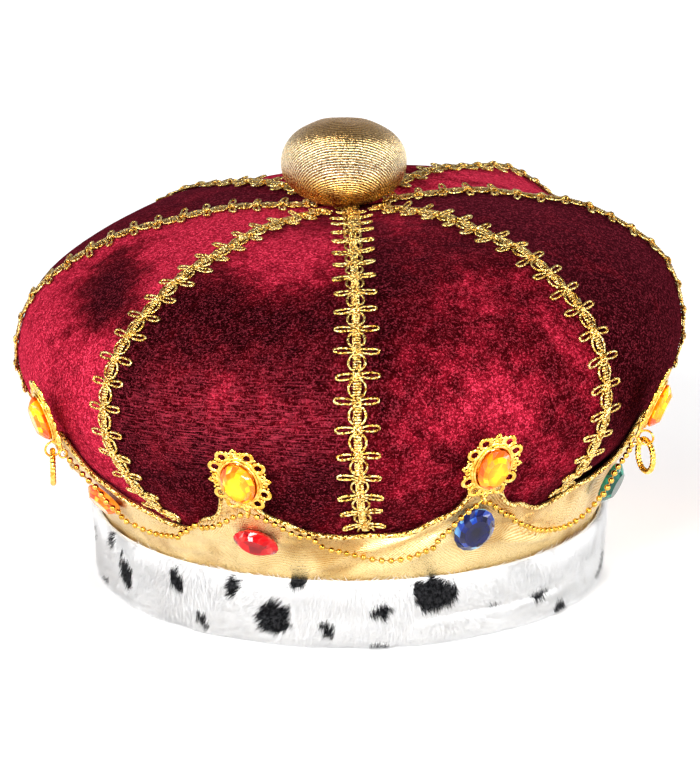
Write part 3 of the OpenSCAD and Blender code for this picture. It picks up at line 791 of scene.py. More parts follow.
# Painted shade: the colour runs from a dark orange in the low grooves of the weave to a pale gold on its
# raised threads
tone = colours(tree, maths(tree, "MULTIPLY", height, 0.87), (0.10, (0.54, 0.26, 0.05)),
               (0.40, (0.94, 0.68, 0.28)), (0.8, (1.0, 0.88, 0.55)))
warm = colours(tree, grains(tree, place, 26, 2.6), (0.22, (0.58, 0.46, 0.30)), (0.48, (0.88, 0.85, 0.76)),
               (0.74, (0.97, 0.98, 0.96)))
tree.links.new(mixed(tree, 1.0, tone, warm, "MULTIPLY"), shader.inputs["Base Color"])
dull = maths(tree, "MULTIPLY_ADD", foil, 0.18, 0.21)
tree.links.new(dull, shader.inputs["Roughness"])
bumped(tree, shader, height, 0.4, 0.0004)


def band_point(u, v):
    """From the band's foot at v = 0 to its wavy edge at v = 1."""
    s = GORES * u
    t = band_top(s) * v
    return on_body(s, t, band_out(s, t))


band = piece("lame_band", shaped_sheet(*BAND_MESH, BAND_CUT, band_point, closed=True), lame)
walled(band, BAND_WALL)
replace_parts(band, "gold_band")

hem_line = []
for k in range(HEM_POINTS):
    s = GORES * k / HEM_POINTS
    t = band_top(s)
    hem_line.append((on_body(s, t, band_out(s, t) - HEM_SET), 1.0))
hem = piece("band_hem", thread_tubes("hem", [(hem_line, True)], HEM_R, 8), gold_thread)


# Plush rim: white fur fabric with black ermine spots, turned under at the foot round a soft
# roll. The hollow ring is one mesh, and its pile is locks of hair that lie down and aside.
RIM_INNER_R = 94
RIM_OUTER_R = 102.3
RIM_H = 27.7
RIM_NOTCH_Z = 17.7
RIM_CREASE = 2.6
CREASE_FROM, CREASE_TO = 12, 54
CREASE_Z = 12.3
CREASE_FALL = -0.02
CREASE_HALF_W = 1.6
RIM_STEPS = 300
# Columns: radius, height
RIM_SECTION = (
    (RIM_INNER_R + 1.5, 0.2),
    (RIM_OUTER_R - 4.4, 0.2),
    (RIM_OUTER_R - 3.4, 0.9),
    (RIM_OUTER_R - 2.4, 3.2),
    (RIM_OUTER_R - 1.9, 6.5),
    (RIM_OUTER_R - 1.7, 9.5),
    (RIM_OUTER_R - 1.8, 12.2),
    (RIM_OUTER_R - 1.8, 14.6),
    (RIM_OUTER_R - 1.7, 18),
    (RIM_OUTER_R - 1.5, 22),
    (RIM_OUTER_R - 1.5, RIM_H - 2.0),
    (RIM_OUTER_R - 1.8, RIM_H - 0.9),
    (RIM_OUTER_R - 2.5, RIM_H - 0.9),
    (RIM_OUTER_R - 3.2, RIM_NOTCH_Z),
    (RIM_INNER_R + 0.6, RIM_NOTCH_Z),
    (RIM_INNER_R + 0.2, 12),
    (RIM_INNER_R + 0.2, 6),
)
# Spots: degrees round the crown, height, half width, half height in millimetres, lean in degrees
SPOTS = (
    (-66.5, 23.5, 2.6, 2.6, 20),
    (-60.5, 14, 4.2, 6.6, 24),
    (-42, 20, 3.2, 5.2, 28),
    (-26.5, 22, 2.6, 4.2, -14),
    (-35, 6.5, 1.5, 4.6, 44),
    (-17.5, 12, 6.8, 6.6, 24),
    (-12.5, 26, 2.9, 2.0, 8),
    (-5.5, 8, 2.1, 4.4, 36),
    (5.5, 15.5, 3.7, 2.8, 6),
    (17.2, 20.5, 9.4, 6.2, -6),
    (5.5, 1.2, 5.2, 1.3, -12),
    (31.5, 12.6, 3.0, 1.0, 0),
    # This spot at the end of the pressed crease is partly black fur and partly the painted shadow in its slit
    (45.5, 11.3, 5.6, 2.2, 0),
    (52.5, 2.4, 5.0, 3.2, -30),
    (76.5, 7.5, 9.5, 2.0, 21),
    (92, 20, 3.0, 3.4, 14),
    (103, 6, 5.4, 3.6, 30),
    (115, 18, 2.6, 4.6, -16),
    (128, 10, 4.0, 5.2, 20),
    (141, 21, 5.4, 3.2, 0),
    (152, 6, 2.2, 3.4, 34),
    (166, 14, 6.6, 6.2, -22),
    (181, 23, 2.6, 2.6, 10),
    (190, 8, 3.0, 4.6, 26),
    (204, 17, 3.6, 2.4, -8),
    (216, 4, 3.8, 1.8, 12),
    (228, 21, 2.4, 4.2, 18),
    (240, 11, 4.8, 4.0, -24),
    (252, 22, 2.0, 2.0, 0),
    (263, 7, 2.6, 3.6, 30),
    (275, 17, 3.8, 3.0, -12),
    (287, 4, 2.8, 1.8, 8),
)
PILE_LENGTH = 3.4
PILE_RADIUS = 0.13
PILE_LOWEST = 0.15
PILE_COUNT = 56000


def fur_lock(angle, height):
    """How far the pile stands in or out in its uneven locks, from -1 to 1."""
    around = Vector((math.sin(angle), math.cos(angle), 0)) * 5.2
    return noise.noise(around + Vector((0, 0, height * 0.12))) + 0.5 * noise.noise(
        around * 3.1 + Vector((0, 0, height * 0.3)))


def crease_share(angle):
    """How deep the pressed crease is at an angle round the rim, from 0 to 1."""
    degrees = math.degrees(angle)
    if degrees < CREASE_FROM or degrees > CREASE_TO:
        return 0
    return math.sin(math.pi * (degrees - CREASE_FROM) / (CREASE_TO - CREASE_FROM)) ** 0.5


def spot_depth(point):
    """1 inside an ermine spot, fading to 0 outside it."""
    angle = math.atan2(point.x, -point.y)
    height = point.z / MM
    best = 0
    for degrees, middle, half_w, half_h, lean in SPOTS:
        aside = (math.degrees(angle) - degrees + 180) % 360 - 180
        x, y = math.radians(aside) * RIM_OUTER_R, height - middle
        if abs(x) > 12:
            continue
        turn = math.radians(lean)
        x, y = x * math.cos(turn) + y * math.sin(turn), y * math.cos(turn) - x * math.sin(turn)
        ragged = 1 + 0.34 * noise.noise(point * 330) + 0.2 * noise.noise(point * 900)
        away = math.hypot(x / half_w, y / half_h) / ragged
        best = max(best, min(1, max(0, (1.18 - away) / 0.3)))
    return best


bm = bmesh.new()
section = [bm.verts.new((0, -radius * MM, height * MM)) for radius, height in RIM_SECTION]
edges = [bm.edges.new((section[k - 1], section[k])) for k in range(len(section))]
bmesh.ops.subdivide_edges(bm, edges=edges, cuts=1, smooth=0.0)
bmesh.ops.spin(bm, geom=bm.verts[:] + bm.edges[:], cent=(0, 0, 0), axis=(0, 0, 1), angle=2 * math.pi,
               steps=RIM_STEPS, use_merge=True)
bmesh.ops.remove_doubles(bm, verts=bm.verts, dist=MM / 100)
for vert in bm.verts:
    radius = math.hypot(vert.co.x, vert.co.y)
    angle = math.atan2(vert.co.x, -vert.co.y)
    height = vert.co.z / MM
    if radius < (RIM_OUTER_R - 3.1) * MM:
        continue
    fade = min(1, max(0, height - 0.5) / 3) * min(1, max(0, RIM_H - 1 - height) / 3)
    above_crease = height - CREASE_Z - CREASE_FALL * math.degrees(angle)
    crease = crease_share(angle) * bump_at(above_crease, CREASE_HALF_W)
    moved = radius + (0.45 * fur_lock(angle, height) * fade - RIM_CREASE * crease) * MM
    vert.co.x *= moved / radius
    vert.co.y *= moved / radius
bmesh.ops.recalc_face_normals(bm, faces=bm.faces)

# Plush: soft white hair, black in the spots, and a little greyer by a fine random grain: a faint painted
# shade meant for the depths between the locks
plush, tree, shader = material(
    "plush", Roughness=0.9, Specular_IOR_Level=0.08, Sheen_Weight=0.2, Sheen_Roughness=0.4)
place = on_object(tree)
spot = node(tree, "Attribute", attribute_name="spot").outputs["Fac"]
white = colours(tree, grains(tree, place, 420, 2.6), (0.1, (0.94, 0.945, 0.955)), (0.6, (0.99, 0.99, 0.99)))
black = colours(tree, grains(tree, place, 700, 2.8), (0.3, (0.003, 0.003, 0.004)),
                (0.95, (0.055, 0.055, 0.06)))
spot = maths(tree, "GREATER_THAN", spot, 0.5)
tree.links.new(mixed(tree, spot, white, black), shader.inputs["Base Color"])
# Each hair is shaded mostly as the roll under it is, so that the pile looks soft
roll = node(tree, "Attribute", attribute_name="roll_normal").outputs["Vector"]
hair = node(tree, "NewGeometry").outputs["Normal"]
blended = node(tree, "Mix", {0: 0.88, 4: hair, 5: roll}, data_type="VECTOR")
shading = node(tree, "VectorMath", {0: blended.outputs[1]}, operation="NORMALIZE")
tree.links.new(shading.outputs[0], shader.inputs["Normal"])


def carries_pile(vert):
    """Whether hair grows at a place of the roll, which it does on the outer face."""
    outer = math.hypot(*vert.co.xy) > (RIM_OUTER_R - 4.6) * MM
    return outer and vert.normal.xy.length > 0.2 and vert.normal.xy.dot(vert.co.xy) > 0


def lay_of_hair(vert):
    """The way a hair lies: aside in waves and down, but not under the band or at the foot."""
    angle = math.atan2(vert.co.x, -vert.co.y)
    outward = Vector((math.sin(angle), -math.cos(angle), 0))
    around = Vector((math.cos(angle), math.sin(angle), 0))
    swing = 1.6 * noise.noise(vert.co * 34) + 0.8 * noise.noise(vert.co * 130)
    droop = 0.75 - 0.7 * noise.noise(vert.co * 48 + Vector((7, 0, 0)))
    droop *= 1 - 0.85 * min(1, max(0, vert.co.z / MM - 20) / 5)
    if vert.co.z < 3 * MM:
        droop = 0.05
    return (vert.normal * 0.34 + outward * 0.05 + around * swing * 0.9 - Vector((0, 0, droop))).normalized()


rim = piece("plush_roll", bm, plush)
give_value(rim, "spot", [spot_depth(v.co) for v in rim.data.vertices])
give_value(rim, "pile", [1.0 if carries_pile(v) else 0.0 for v in rim.data.vertices])
lay = [value for v in rim.data.vertices for value in lay_of_hair(v)]
rim.data.attributes.new("lay", "FLOAT_VECTOR", "POINT").data.foreach_set("vector", lay)
outs = [value for v in rim.data.vertices for value in v.normal]
rim.data.attributes.new("roll_normal", "FLOAT_VECTOR", "POINT").data.foreach_set("vector", outs)

# One hair: a thin three-sided spike, a millimetre long before it is scaled
bm = bmesh.new()
bmesh.ops.create_cone(
    bm, cap_ends=False, segments=3, radius1=PILE_RADIUS / PILE_LENGTH * MM, radius2=0, depth=MM,
    matrix=Matrix.Translation((0, 0, MM / 2)))
bmesh.ops.remove_doubles(bm, verts=bm.verts, dist=MM / 1000)
bmesh.ops.recalc_face_normals(bm, faces=bm.faces)
spike = set_out("spike", mesh_of("spike", bm))

# The pile is sown on the rim by nodes, and made a plain mesh
sow = bpy.data.node_groups.new("sow_pile", "GeometryNodeTree")
sow.interface.new_socket("Geometry", in_out="INPUT", socket_type="NodeSocketGeometry")
sow.interface.new_socket("Half", in_out="INPUT", socket_type="NodeSocketFloat")
sow.interface.new_socket("Geometry", in_out="OUTPUT", socket_type="NodeSocketGeometry")


def sown(kind, inputs=None, family="GeometryNode", **settings):
    """A node of the group that sows the pile."""
    return node(sow, kind, inputs, family, **settings)


source = sow.nodes.new("NodeGroupInput")
result = sow.nodes.new("NodeGroupOutput")
piled = {v.index for v in rim.data.vertices if rim.data.attributes["pile"].data[v.index].value}
pile_area = sum(face.area for face in rim.data.polygons if piled.issuperset(face.vertices))
density = PILE_COUNT * 2 / pile_area
pile_here = sown("InputNamedAttribute", {"Name": "pile"}, data_type="FLOAT").outputs["Attribute"]
lay_here = sown("InputNamedAttribute", {"Name": "lay"}, data_type="FLOAT_VECTOR").outputs["Attribute"]
here = node(sow, "SeparateXYZ", {0: sown("InputPosition").outputs[0]})
on_half = maths(sow, "GREATER_THAN", maths(sow, "MULTIPLY", here.outputs[1], source.outputs["Half"]), 0.0)
amount = maths(sow, "MULTIPLY", maths(sow, "MULTIPLY", pile_here, on_half), density)
points = sown("DistributePointsOnFaces", {
    "Mesh": source.outputs["Geometry"], "Density": amount, "Seed": 4}, distribute_method="RANDOM")
aligned = sown("AlignRotationToVector", {"Vector": lay_here}, "FunctionNode", axis="Z")
spin = sown("RandomValue", {"Min": (-0.3, -0.3, -3.1), "Max": (0.3, 0.3, 3.1), "Seed": 8}, "FunctionNode",
            data_type="FLOAT_VECTOR")
turned = sown("RotateRotation", {"Rotation": aligned.outputs[0], "Rotate By": spin.outputs["Value"]},
              "FunctionNode", rotation_space="LOCAL")
length = sown("RandomValue", {"Seed": 9, 2: 0.7 * PILE_LENGTH, 3: 1.15 * PILE_LENGTH}, "FunctionNode",
              data_type="FLOAT")
hair = sown("ObjectInfo", {"Object": spike})
placed = sown("InstanceOnPoints", {
    "Points": points.outputs["Points"], "Instance": hair.outputs["Geometry"],
    "Rotation": turned.outputs[0], "Scale": length.outputs[1]})
real = sown("RealizeInstances", {0: placed.outputs[0]})
sow.links.new(real.outputs[0], result.inputs[0])

for name, half in (("plush_pile_front", -1.0), ("plush_pile_back", 1.0)):
    sower = rim.modifiers.new("sow", "NODES")
    sower.node_group = sow
    sower[sow.interface.items_tree["Half"].identifier] = half
    grown = bpy.data.meshes.new_from_object(rim.evaluated_get(bpy.context.evaluated_depsgraph_get()))
    rim.modifiers.clear()
    for v in grown.vertices:
        v.co.z = max(v.co.z, PILE_LOWEST * MM)
    for label in ("pile", "lay"):
        grown.attributes.remove(grown.attributes[label])
    grown.shade_smooth()
    grown.materials.clear()
    grown.materials.append(plush)
    pile_piece = set_out(name, grown)
    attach(pile_piece, "root")
bpy.data.objects.remove(spike)
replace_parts(rim, "plush_rim")


# Top ball: gold ribbed cloth stuffed with wadding, its edge gathered in pleats to a short
# neck that goes down through the gores. Its ribs are the threads of one flat round of cloth.
BALL_X = -2.4
BALL_Z = 164
BALL_W = 49.4
BALL_H = 33.4
NECK_R = 5.6
NECK_FOOT_Z = 140
# Share of the mesh's rows in the neck, and the angle below level at which the ball starts
NECK_SHARE = 0.12
BALL_START = -77
PLEATS = 23
PLEAT_DEPTH = 1.25
BALL_MESH = (144, 72)
BALL_CLOTH_R = 0.2375 * math.pi * (BALL_W + BALL_H)

ball_cloth, tree, shader = material("ball_cloth", Metallic=0.97, Roughness=0.3)
uv = node(tree, "UVMap").outputs[0]
place = on_object(tree)
rib = ribs(tree, uv, 0.00112, 90, 0.45)
foil = grains(tree, place, 1300, 3.2)
height = maths(tree, "MULTIPLY_ADD", rib, 0.75, maths(tree, "MULTIPLY", foil, 0.35))
# Painted shade: the colour is dark between the ribs and pale gold on them
tone = colours(tree, maths(tree, "MULTIPLY", height, 0.9), (0.10, (0.26, 0.12, 0.02)),
               (0.42, (0.80, 0.56, 0.24)), (0.80, (1.0, 0.96, 0.80)))
# Painted light by height: paler round its middle for the lamps' highlight, a deeper gold at its top for the
# dark ceiling it reflects, and in the gathers under it for the warm velvet and braid they reflect
level = node(tree, "SeparateXYZ", {0: place}).outputs[2]
rise = node(tree, "MapRange", {0: level, 1: (BALL_Z - 0.45 * BALL_H) * MM, 2: (BALL_Z + 0.5 * BALL_H) * MM})
painted_light_by_height = colours(tree, rise.outputs[0], (0.06, (1.0, 0.62, 0.14)), (0.34, (1.0, 0.74, 0.34)),
               (0.50, (1.0, 0.96, 0.86)), (0.74, (1.0, 0.94, 0.80)), (0.97, (1.0, 0.68, 0.30)))
tree.links.new(mixed(tree, 1.0, tone, painted_light_by_height, "MULTIPLY"), shader.inputs["Base Color"])
tree.links.new(maths(tree, "MULTIPLY_ADD", foil, 0.2, 0.16), shader.inputs["Roughness"])
bumped(tree, shader, height, 0.75, 0.0005)


def ball_point(u, v):
    """From the bottom of the neck at v = 0 over the ball to its top at v = 1."""
    turn = 2 * math.pi * u
    if v < NECK_SHARE:
        rise = v / NECK_SHARE
        radius = NECK_R * 0.94
        height = NECK_FOOT_Z + (BALL_Z - 0.5 * BALL_H + 0.7 - NECK_FOOT_Z) * rise
        pleats = 0.35
        middle = BALL_X * rise ** 2
    else:
        angle = math.radians(BALL_START + (90 - BALL_START) * (v - NECK_SHARE) / (1 - NECK_SHARE))
        radius = BALL_W / 2 * max(0, math.cos(angle)) ** 0.9
        height = BALL_Z + BALL_H / 2 * math.copysign(abs(math.sin(angle)) ** 0.95, angle)
        pleats = PLEAT_DEPTH * min(1, max(0, (-math.degrees(angle) - 22) / 45)) ** 1.4
        middle = BALL_X
    wander = turn * PLEATS + 1.7 * math.sin(turn * 3) + 1.1 * math.sin(turn * 7 + 1)
    radius *= 1 - 0.006 * (1 + math.sin(turn * 5 + height * 0.2))
    radius -= pleats * (0.5 + 0.5 * math.cos(wander)) ** 0.6
    point = Vector((middle + radius * math.sin(turn), -radius * math.cos(turn), height))
    dimple = 0.5 * noise.noise(point * 0.11)
    return (point + Vector((0, 0, dimple))) * MM


bm = shaped_sheet(*BALL_MESH, (1, 1), ball_point, closed=True)
uv_layer = bm.loops.layers.uv.active
for face in bm.faces:
    for loop in face.loops:
        u, v = loop[uv_layer].uv
        reach = (1 - v) * BALL_CLOTH_R * MM
        loop[uv_layer].uv = (reach * math.sin(2 * math.pi * u), -reach * math.cos(2 * math.pi * u))
bmesh.ops.holes_fill(bm, edges=[e for e in bm.edges if e.is_boundary])
bmesh.ops.recalc_face_normals(bm, faces=bm.faces)
ball = piece("stuffed_ball", bm, ball_cloth)
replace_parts(ball, "top_ball")


# Settings: cast lace in bright yellow gold plate, each with a plain bezel, eight large holes in
# pairs at its corners, a trefoil of small holes between them, and bails soldered at its foot.
# Columns: place s, row t, then degrees of roll, turn and tip, and stand-off in millimetres
JEWELS = (
    (0.49, 5.5, 1, 0, 0, 0),
    (1.225, 5.84, 0, 14, 13, 3.4),
    (2.5, 5.4, 0, 0, 0, 0),
    (3.5, 5.4, 0, 0, 0, 0),
    (4.5, 5.4, 0, 0, 0, 0),
    (5.5, 5.4, 0, 0, 0, 0),
    (6.69, 5.9, 0, -9, 11, 2.3),
    (7.56, 5.45, -3, 0, 0, 0),
)
JEWEL_OUT = BAND_GAP + BAND_WALL + 0.8
SETTING_W = 24.5
SETTING_H = 30
SETTING_WALL = 1.2
JEWEL_W = 13
JEWEL_H = 18
JEWEL_RISE = 4.7
LOBE_R = 2.75
BAIL_R = 1.5
BAIL_WIRE = 0.9
RING_BAIL_R = 2.8
# Place of a rope ring's bail, for each of the two side settings: aside, above the foot, out
RING_HANG = {1: (2.5, 2.7, 2.7), -1: (-2.5, 2.2, 3.3)}


def plate_frame(s, t, roll=0, out=0, turn=0, tip=0):
    """The place of a plate on the body: x across it, y up it and z out of it, in millimetres."""
    face = out_of_body(s, t)
    heading = math.atan2(face.x, -face.y) + math.radians(turn)
    droop = math.asin(-face.z) + math.radians(tip)
    level = Vector((math.cos(heading), math.sin(heading), 0))
    normal = Vector((
        math.sin(heading) * math.cos(droop), -math.cos(heading) * math.cos(droop), -math.sin(droop)))
    upright = normal.cross(level)
    across = level * math.cos(math.radians(roll)) - upright * math.sin(math.radians(roll))
    columns = Matrix((across, normal.cross(across), normal)).transposed().to_4x4()
    return Matrix.Translation(on_body(s, t, out)) @ columns @ Matrix.Scale(MM, 4)


def add_ring(bm, width, height, wire, place=(0, 0, 0), turn=0.0, steps=20, sides=6, stand=False, flat=1.0):
    """An oval ring of wire, sized by its centre line, lying in the plate or standing on edge."""
    old = set(bm.verts)
    made = bmesh.ops.create_circle(
        bm, segments=sides, radius=wire / 2,
        matrix=Matrix.Translation((width / 2, 0, 0)) @ Matrix.Rotation(math.pi / 2, 4, "X"))["verts"]
    edges = list({e for v in made for e in v.link_edges})
    bmesh.ops.spin(bm, geom=made + edges, cent=(0, 0, 0), axis=(0, 0, 1), angle=2 * math.pi, steps=steps,
                   use_merge=True)
    verts = [v for v in bm.verts if v not in old]
    bmesh.ops.remove_doubles(bm, verts=verts, dist=1e-4)
    verts = [v for v in bm.verts if v not in old]
    # The wire keeps its thickness while its line is drawn out to an oval
    stretch = (height - width) / 2
    for v in verts:
        v.co.y += stretch * v.co.y / (width / 2)
        v.co.z *= flat
    move = Matrix.Translation(place) @ Matrix.Rotation(turn, 4, "Z")
    if stand:
        move = move @ Matrix.Rotation(math.pi / 2, 4, "Y")
    bmesh.ops.transform(bm, matrix=move, verts=verts)
    return verts


# Gold plate: bright, smooth casting with tiny hollows, and a warmer, duller tone in them
gold_metal, tree, shader = material("gold_metal", Metallic=1.0, Roughness=0.14)
place = on_object(tree)
cast = grains(tree, place, 520, 2.4)
tone = colours(tree, cast, (0.15, (0.74, 0.36, 0.03)), (0.6, (1.0, 0.66, 0.13)), (0.95, (1.0, 0.82, 0.32)))
tree.links.new(tone, shader.inputs["Base Color"])
dull = maths(tree, "MULTIPLY_ADD", grains(tree, place, 260, 2.6), 0.16, 0.09)
tree.links.new(dull, shader.inputs["Roughness"])
bumped(tree, shader, cast, 0.25, 0.0003)


def side_of(i):
    """-1 and 1 for the two side settings, which carry a rope ring, and 0 for the others."""
    return {1: -1, 6: 1}.get(i, 0)


jewel_frames = [plate_frame(s, t, roll, JEWEL_OUT + out, turn, tip) for s, t, roll, turn, tip, out in JEWELS]
for i, jewel_frame in enumerate(jewel_frames):
    bm = bmesh.new()
    # The back plate under the stone, and the bezel round it in two steps
    plate = bmesh.ops.create_circle(bm, cap_ends=True, segments=48, radius=1)["verts"]
    bmesh.ops.scale(bm, verts=plate, vec=(JEWEL_W / 2 + 1.2, JEWEL_H / 2 + 1.2, 1))
    raised = bmesh.ops.extrude_face_region(bm, geom=bm.faces[:])["geom"]
    bmesh.ops.translate(bm, verts=[v for v in raised if isinstance(v, bmesh.types.BMVert)], vec=(0, 0, 0.9))
    add_ring(bm, JEWEL_W + 2.6, JEWEL_H + 2.6, 1.5, (0, 0, 0.9), steps=64, sides=10)
    add_ring(bm, JEWEL_W + 1.3, JEWEL_H + 1.3, 0.95, (0, 0, 1.85), steps=64, sides=8)
    for k in range(12):
        angle = k * math.pi / 6
        x, y = (SETTING_W / 2 - LOBE_R) * math.sin(angle), (SETTING_H / 2 - LOBE_R) * math.cos(angle)
        outward = Vector((math.sin(angle), math.cos(angle), 0))
        beside = Vector((math.cos(angle), -math.sin(angle), 0))
        middle = Vector((x, y, 0.75))
        if k % 3:
            add_ring(bm, 4.0, 4.3, 1.6, middle + outward * 0.1, -angle, 22, 8, flat=0.75)
        else:
            add_ring(bm, 1.8, 1.8, 1.1, middle + outward * 1.0, -angle, 14, 6)
            for step in (-1, 1):
                add_ring(bm, 1.7, 1.7, 1.15, middle + outward * -0.35 + beside * step * 1.75, -angle, 14, 6)
            for away, size in ((2.3, 0.55), (-0.7, 0.8)):
                bmesh.ops.create_icosphere(
                    bm, subdivisions=1, radius=size, matrix=Matrix.Translation(middle + outward * away))
        notch = angle + math.pi / 12
        rim_place = ((SETTING_W / 2 - 1.5) * math.sin(notch), (SETTING_H / 2 - 1.5) * math.cos(notch), 0.7)
        bmesh.ops.create_icosphere(bm, subdivisions=1, radius=0.55, matrix=Matrix.Translation(rim_place))
    side = side_of(i)
    foot = (5.6 * side, -SETTING_H / 2 - BAIL_R + 0.5 + 1.4 * abs(side), SETTING_WALL / 2)
    add_ring(bm, 2 * BAIL_R, 2 * BAIL_R, BAIL_WIRE, foot, steps=20, sides=8, stand=True)
    if side:
        aside, above, out = RING_HANG[side]
        hang = (aside, above - SETTING_H / 2, SETTING_WALL / 2 + out)
        add_ring(bm, 2 * RING_BAIL_R, 2 * RING_BAIL_R, BAIL_WIRE, hang, steps=28, sides=8, stand=True)
    bmesh.ops.transform(bm, matrix=jewel_frame, verts=bm.verts)
    bmesh.ops.recalc_face_normals(bm, faces=bm.faces)
    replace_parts(piece(f"filigree_{i + 1}", bm, gold_metal), f"setting_{i + 1}")


# Cut stones: moulded acrylic, foiled behind, with a girdle, two rings of facets and a table.
# The light that the foil sends back is painted into each stone's colour: a painted bright heart, painted
# reflections on dark or clear facets, and a faint painted glow.
# Columns: height as a share of the rise, width as a share of the stone's, half steps of turn
FACET_ROWS = ((0.34, 1, 0), (0.42, 1, 0), (0.74, 0.80, 1), (1, 0.62, 0))
FOOT_SHARE = 0.9


def cut_stone(name, place, width, height, rise, sides, finish, seed):
    """A cut stone of that width, height and rise in millimetres, in its place."""
    bm = bmesh.new()
    bmesh.ops.create_circle(bm, cap_ends=True, segments=2 * sides, radius=FOOT_SHARE)
    half_step = Matrix.Rotation(math.pi / sides / 2, 3, "Z")
    top = bm.faces[:]
    for level, share, step in FACET_ROWS:
        raised = bmesh.ops.extrude_face_region(bm, geom=top)["geom"]
        verts = [v for v in raised if isinstance(v, bmesh.types.BMVert)]
        bmesh.ops.delete(bm, geom=top, context="FACES_ONLY")
        top = [f for f in raised if isinstance(f, bmesh.types.BMFace)]
        growth = share / max(math.hypot(v.co.x, v.co.y) for v in verts)
        bmesh.ops.translate(bm, verts=verts, vec=(0, 0, level - verts[0].co.z))
        bmesh.ops.scale(bm, verts=verts, vec=(growth, growth, 1))
        if step:
            bmesh.ops.rotate(bm, verts=verts, cent=(0, 0, 0), matrix=half_step)
    bmesh.ops.scale(bm, verts=bm.verts, vec=(width / 2, height / 2, rise))
    bmesh.ops.recalc_face_normals(bm, faces=bm.faces)
    random.seed(seed)
    # Each facet's gleam sets how bright a reflection is painted on it
    gleams = bm.faces.layers.float.new("gleam")
    for face in bm.faces:
        face[gleams] = 0.35 if len(face.verts) > 4 else random.random()
    seats = bm.verts.layers.float_vector.new("seat")
    for vert in bm.verts:
        vert[seats] = Vector((vert.co.x * 2 / width, vert.co.y * 2 / height, 0))
    bmesh.ops.transform(bm, matrix=place, verts=bm.verts)
    return piece(name, bm, finish, smooth=False)


def stone_finish(name, heart_share, *stops):
    """A clear stone over foil, whose colour paints its reflections along a ramp from its dark facets to its
    light ones, and which glows faintly in that colour.
    """
    made, tree, shader = material(
        name, Roughness=0.06, Specular_IOR_Level=0.35, Coat_Weight=0.25, Coat_Roughness=0.02, IOR=1.45,
        Emission_Strength=0.10)
    gleam = node(tree, "Attribute", attribute_name="gleam").outputs["Fac"]
    seat = node(tree, "Attribute", attribute_name="seat").outputs["Vector"]
    away = node(tree, "VectorMath", {0: seat}, operation="LENGTH").outputs["Value"]
    heart = maths(tree, "SUBTRACT", 1.0, away)
    # Painted reflections: broad patches of light and dark across the stone
    cells = node(tree, "TexVoronoi", {"Vector": on_object(tree), "Scale": 230}, feature="F1")
    patch = node(tree, "SeparateColor", {0: cells.outputs["Color"]}).outputs[0]
    light = maths(tree, "MULTIPLY_ADD", gleam, 0.42, maths(tree, "MULTIPLY", patch, 0.25))
    light = maths(tree, "MULTIPLY_ADD", heart, heart_share, light)
    colour = colours(tree, light, *stops)
    tree.links.new(colour, shader.inputs["Base Color"])
    # Painted glow: the stone gives off a little light in its own colour
    tree.links.new(colour, shader.inputs["Emission Color"])
    return made


# Each colour: how much the heart of the stone adds to its light, then the stops of its ramp
STONES = {
    "amber": (0.50, (0.15, (0.62, 0.06, 0.0)), (0.36, (0.96, 0.17, 0.0)), (0.54, (1.0, 0.30, 0.0)),
              (0.70, (1.0, 0.62, 0.005))),
    "blue": (-0.30, (0.0, (0.001, 0.001, 0.012)), (0.26, (0.002, 0.004, 0.06)), (0.44, (0.004, 0.03, 0.26)),
             (0.60, (0.28, 0.70, 0.92))),
    "green": (-0.20, (0.0, (0.0, 0.012, 0.008)), (0.32, (0.0, 0.07, 0.045)), (0.62, (0.01, 0.28, 0.18))),
    "orange": (0.40, (0.15, (0.45, 0.03, 0.0)), (0.4, (0.9, 0.14, 0.0)), (0.7, (1.0, 0.42, 0.04))),
    "red": (-0.10, (0.05, (0.14, 0.0, 0.002)), (0.35, (0.50, 0.003, 0.005)), (0.66, (0.88, 0.05, 0.04))),
}
stone_finishes = {name: stone_finish(name + "_stone", *stops) for name, stops in STONES.items()}
for i, jewel_frame in enumerate(jewel_frames):
    seat = jewel_frame @ Matrix.Translation((0, 0, SETTING_WALL + 0.2))
    stone = cut_stone(f"amber_{i + 1}", seat, JEWEL_W, JEWEL_H, JEWEL_RISE, 8, stone_finishes["amber"],
                      20 + i)
    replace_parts(stone, f"jewel_stone_{i + 1}")
for i, (_, _, width, tall, roll, sides, tip, colour) in enumerate(BAND_STONES):
    turned = plate_frame(*stone_places[i], roll, tip=tip).to_3x3().normalized()
    corners = [v.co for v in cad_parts[f"band_stone_{i + 1}"].data.vertices]
    inward = turned.transposed()
    lowest = min((inward @ corner).z for corner in corners)
    middle = sum(corners, Vector()) / len(corners)
    flat = inward @ middle
    foot = Matrix.Translation(turned @ Vector((flat.x, flat.y, lowest)))
    seat = foot @ turned.to_4x4() @ Matrix.Scale(MM, 4)
    stone = cut_stone(f"{colour}_{i + 1}", seat, width, tall, JEWEL_RISE, sides, stone_finishes[colour],
                      40 + i)
    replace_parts(stone, f"band_stone_{i + 1}")


# Bead swags: hollow gold balls with a short link of wire between each two, hung from bail to
# bail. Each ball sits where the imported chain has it.
BEAD_D = 2.4
LINK_R = 0.24

# Bead gold: the gold of the plate painted darker, for the dark surroundings that the small mirror-bright
# beads reflect
bead_gold_painted_dark, tree, shader = material("bead_gold_painted_dark", Metallic=1.0, Roughness=0.1)
tone = colours(tree, grains(tree, on_object(tree), 400, 2), (0.2, (0.50, 0.26, 0.03)),
               (0.8, (0.82, 0.52, 0.10)))
tree.links.new(tone, shader.inputs["Base Color"])


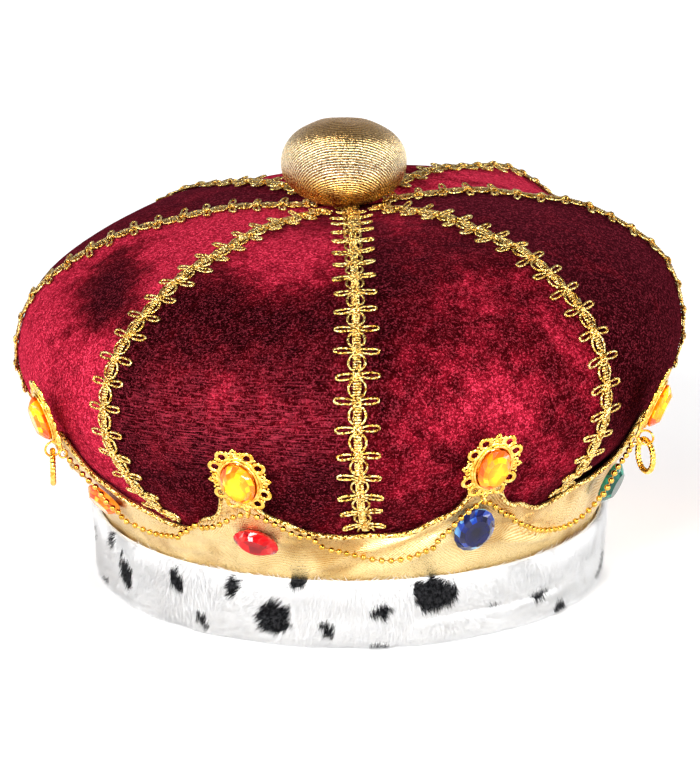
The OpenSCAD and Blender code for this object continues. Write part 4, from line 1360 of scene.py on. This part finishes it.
def bead_centres(chain):
    """The middles of a packed chain's beads, in order from its left end."""
    bm = bmesh.new()
    bm.from_mesh(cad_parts[chain].data)
    bmesh.ops.remove_doubles(bm, verts=bm.verts, dist=MM / 100)
    left = set(bm.verts)
    middles = []
    for vert in bm.verts:
        if vert not in left:
            continue
        left.remove(vert)
        reached = [vert]
        for here in reached:
            fresh = [v for v in (e.other_vert(here) for e in here.link_edges) if v in left]
            left.difference_update(fresh)
            reached.extend(fresh)
        middles.append(sum((v.co for v in reached), Vector()) / len(reached))
    bm.free()
    middles.sort(key=lambda p: math.atan2(p.x, -p.y))
    line = [middles.pop(0)]
    while middles:
        line.append(middles.pop(min(range(len(middles)), key=lambda k: (middles[k] - line[-1]).length)))
    return line


def thread_end(thread, bead, next_bead):
    """The end of a packed thread past its first or last bead. It lies in the bail."""
    near = [point for point in thread if (point - bead).length < 6 * MM]
    return max(near, key=lambda point: (point - next_bead).length)


for i in range(3):
    line = bead_centres(f"bead_chain_{i + 1}")
    thread = [v.co.copy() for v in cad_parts[f"bead_thread_{i + 1}"].data.vertices]
    first = thread_end(thread, line[0], line[1])
    last = thread_end(thread, line[-1], line[-2])
    whole = [first] + line + [last]
    links = [([(a, 1.0), ((a + b) / 2, 1.0), (b, 1.0)], False) for a, b in zip(whole, whole[1:])]
    bm = thread_tubes("links", links, LINK_R, 6)
    for middle in line:
        bmesh.ops.create_uvsphere(bm, u_segments=18, v_segments=11, radius=BEAD_D / 2 * MM,
                                  matrix=Matrix.Translation(middle))
    swag = piece(f"bead_swag_{i + 1}", bm, bead_gold_painted_dark)
    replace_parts(swag, f"bead_chain_{i + 1}", f"bead_thread_{i + 1}")


# Rope rings: gold rings cast as a twisted rope, hung in the bails of the side settings
ROPE_RING_D = 14.5
ROPE_RING_WIRE = 2.3
ROPE_TURNS = 26
for name, turn in (("rope_ring_left", -86), ("rope_ring_right", 112)):
    low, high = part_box(name)
    middle = (low + high) / 2
    facing = Matrix.Rotation(math.radians(turn), 4, "Z") @ Matrix.Rotation(math.pi / 2, 4, "X")
    ring_r = (ROPE_RING_D - ROPE_RING_WIRE) / 2

    def rope_point(u, v):
        """A point of the twisted wire: u round the ring and v round its section."""
        around, section = 2 * math.pi * u, 2 * math.pi * v
        lay = abs(math.cos((section + around * ROPE_TURNS) / 2))
        wire = ROPE_RING_WIRE / 2 * (0.72 + 0.28 * lay ** 0.5)
        reach = ring_r + wire * math.cos(section)
        local = Vector((reach * math.cos(around), reach * math.sin(around), wire * math.sin(section)))
        return facing @ (local * MM) + middle

    bm = shaped_sheet(260, 16, (1, 1), rope_point, closed=True)
    bmesh.ops.recalc_face_normals(bm, faces=bm.faces)
    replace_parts(piece(name.replace("rope_ring", "twisted_ring"), bm, gold_metal), name)
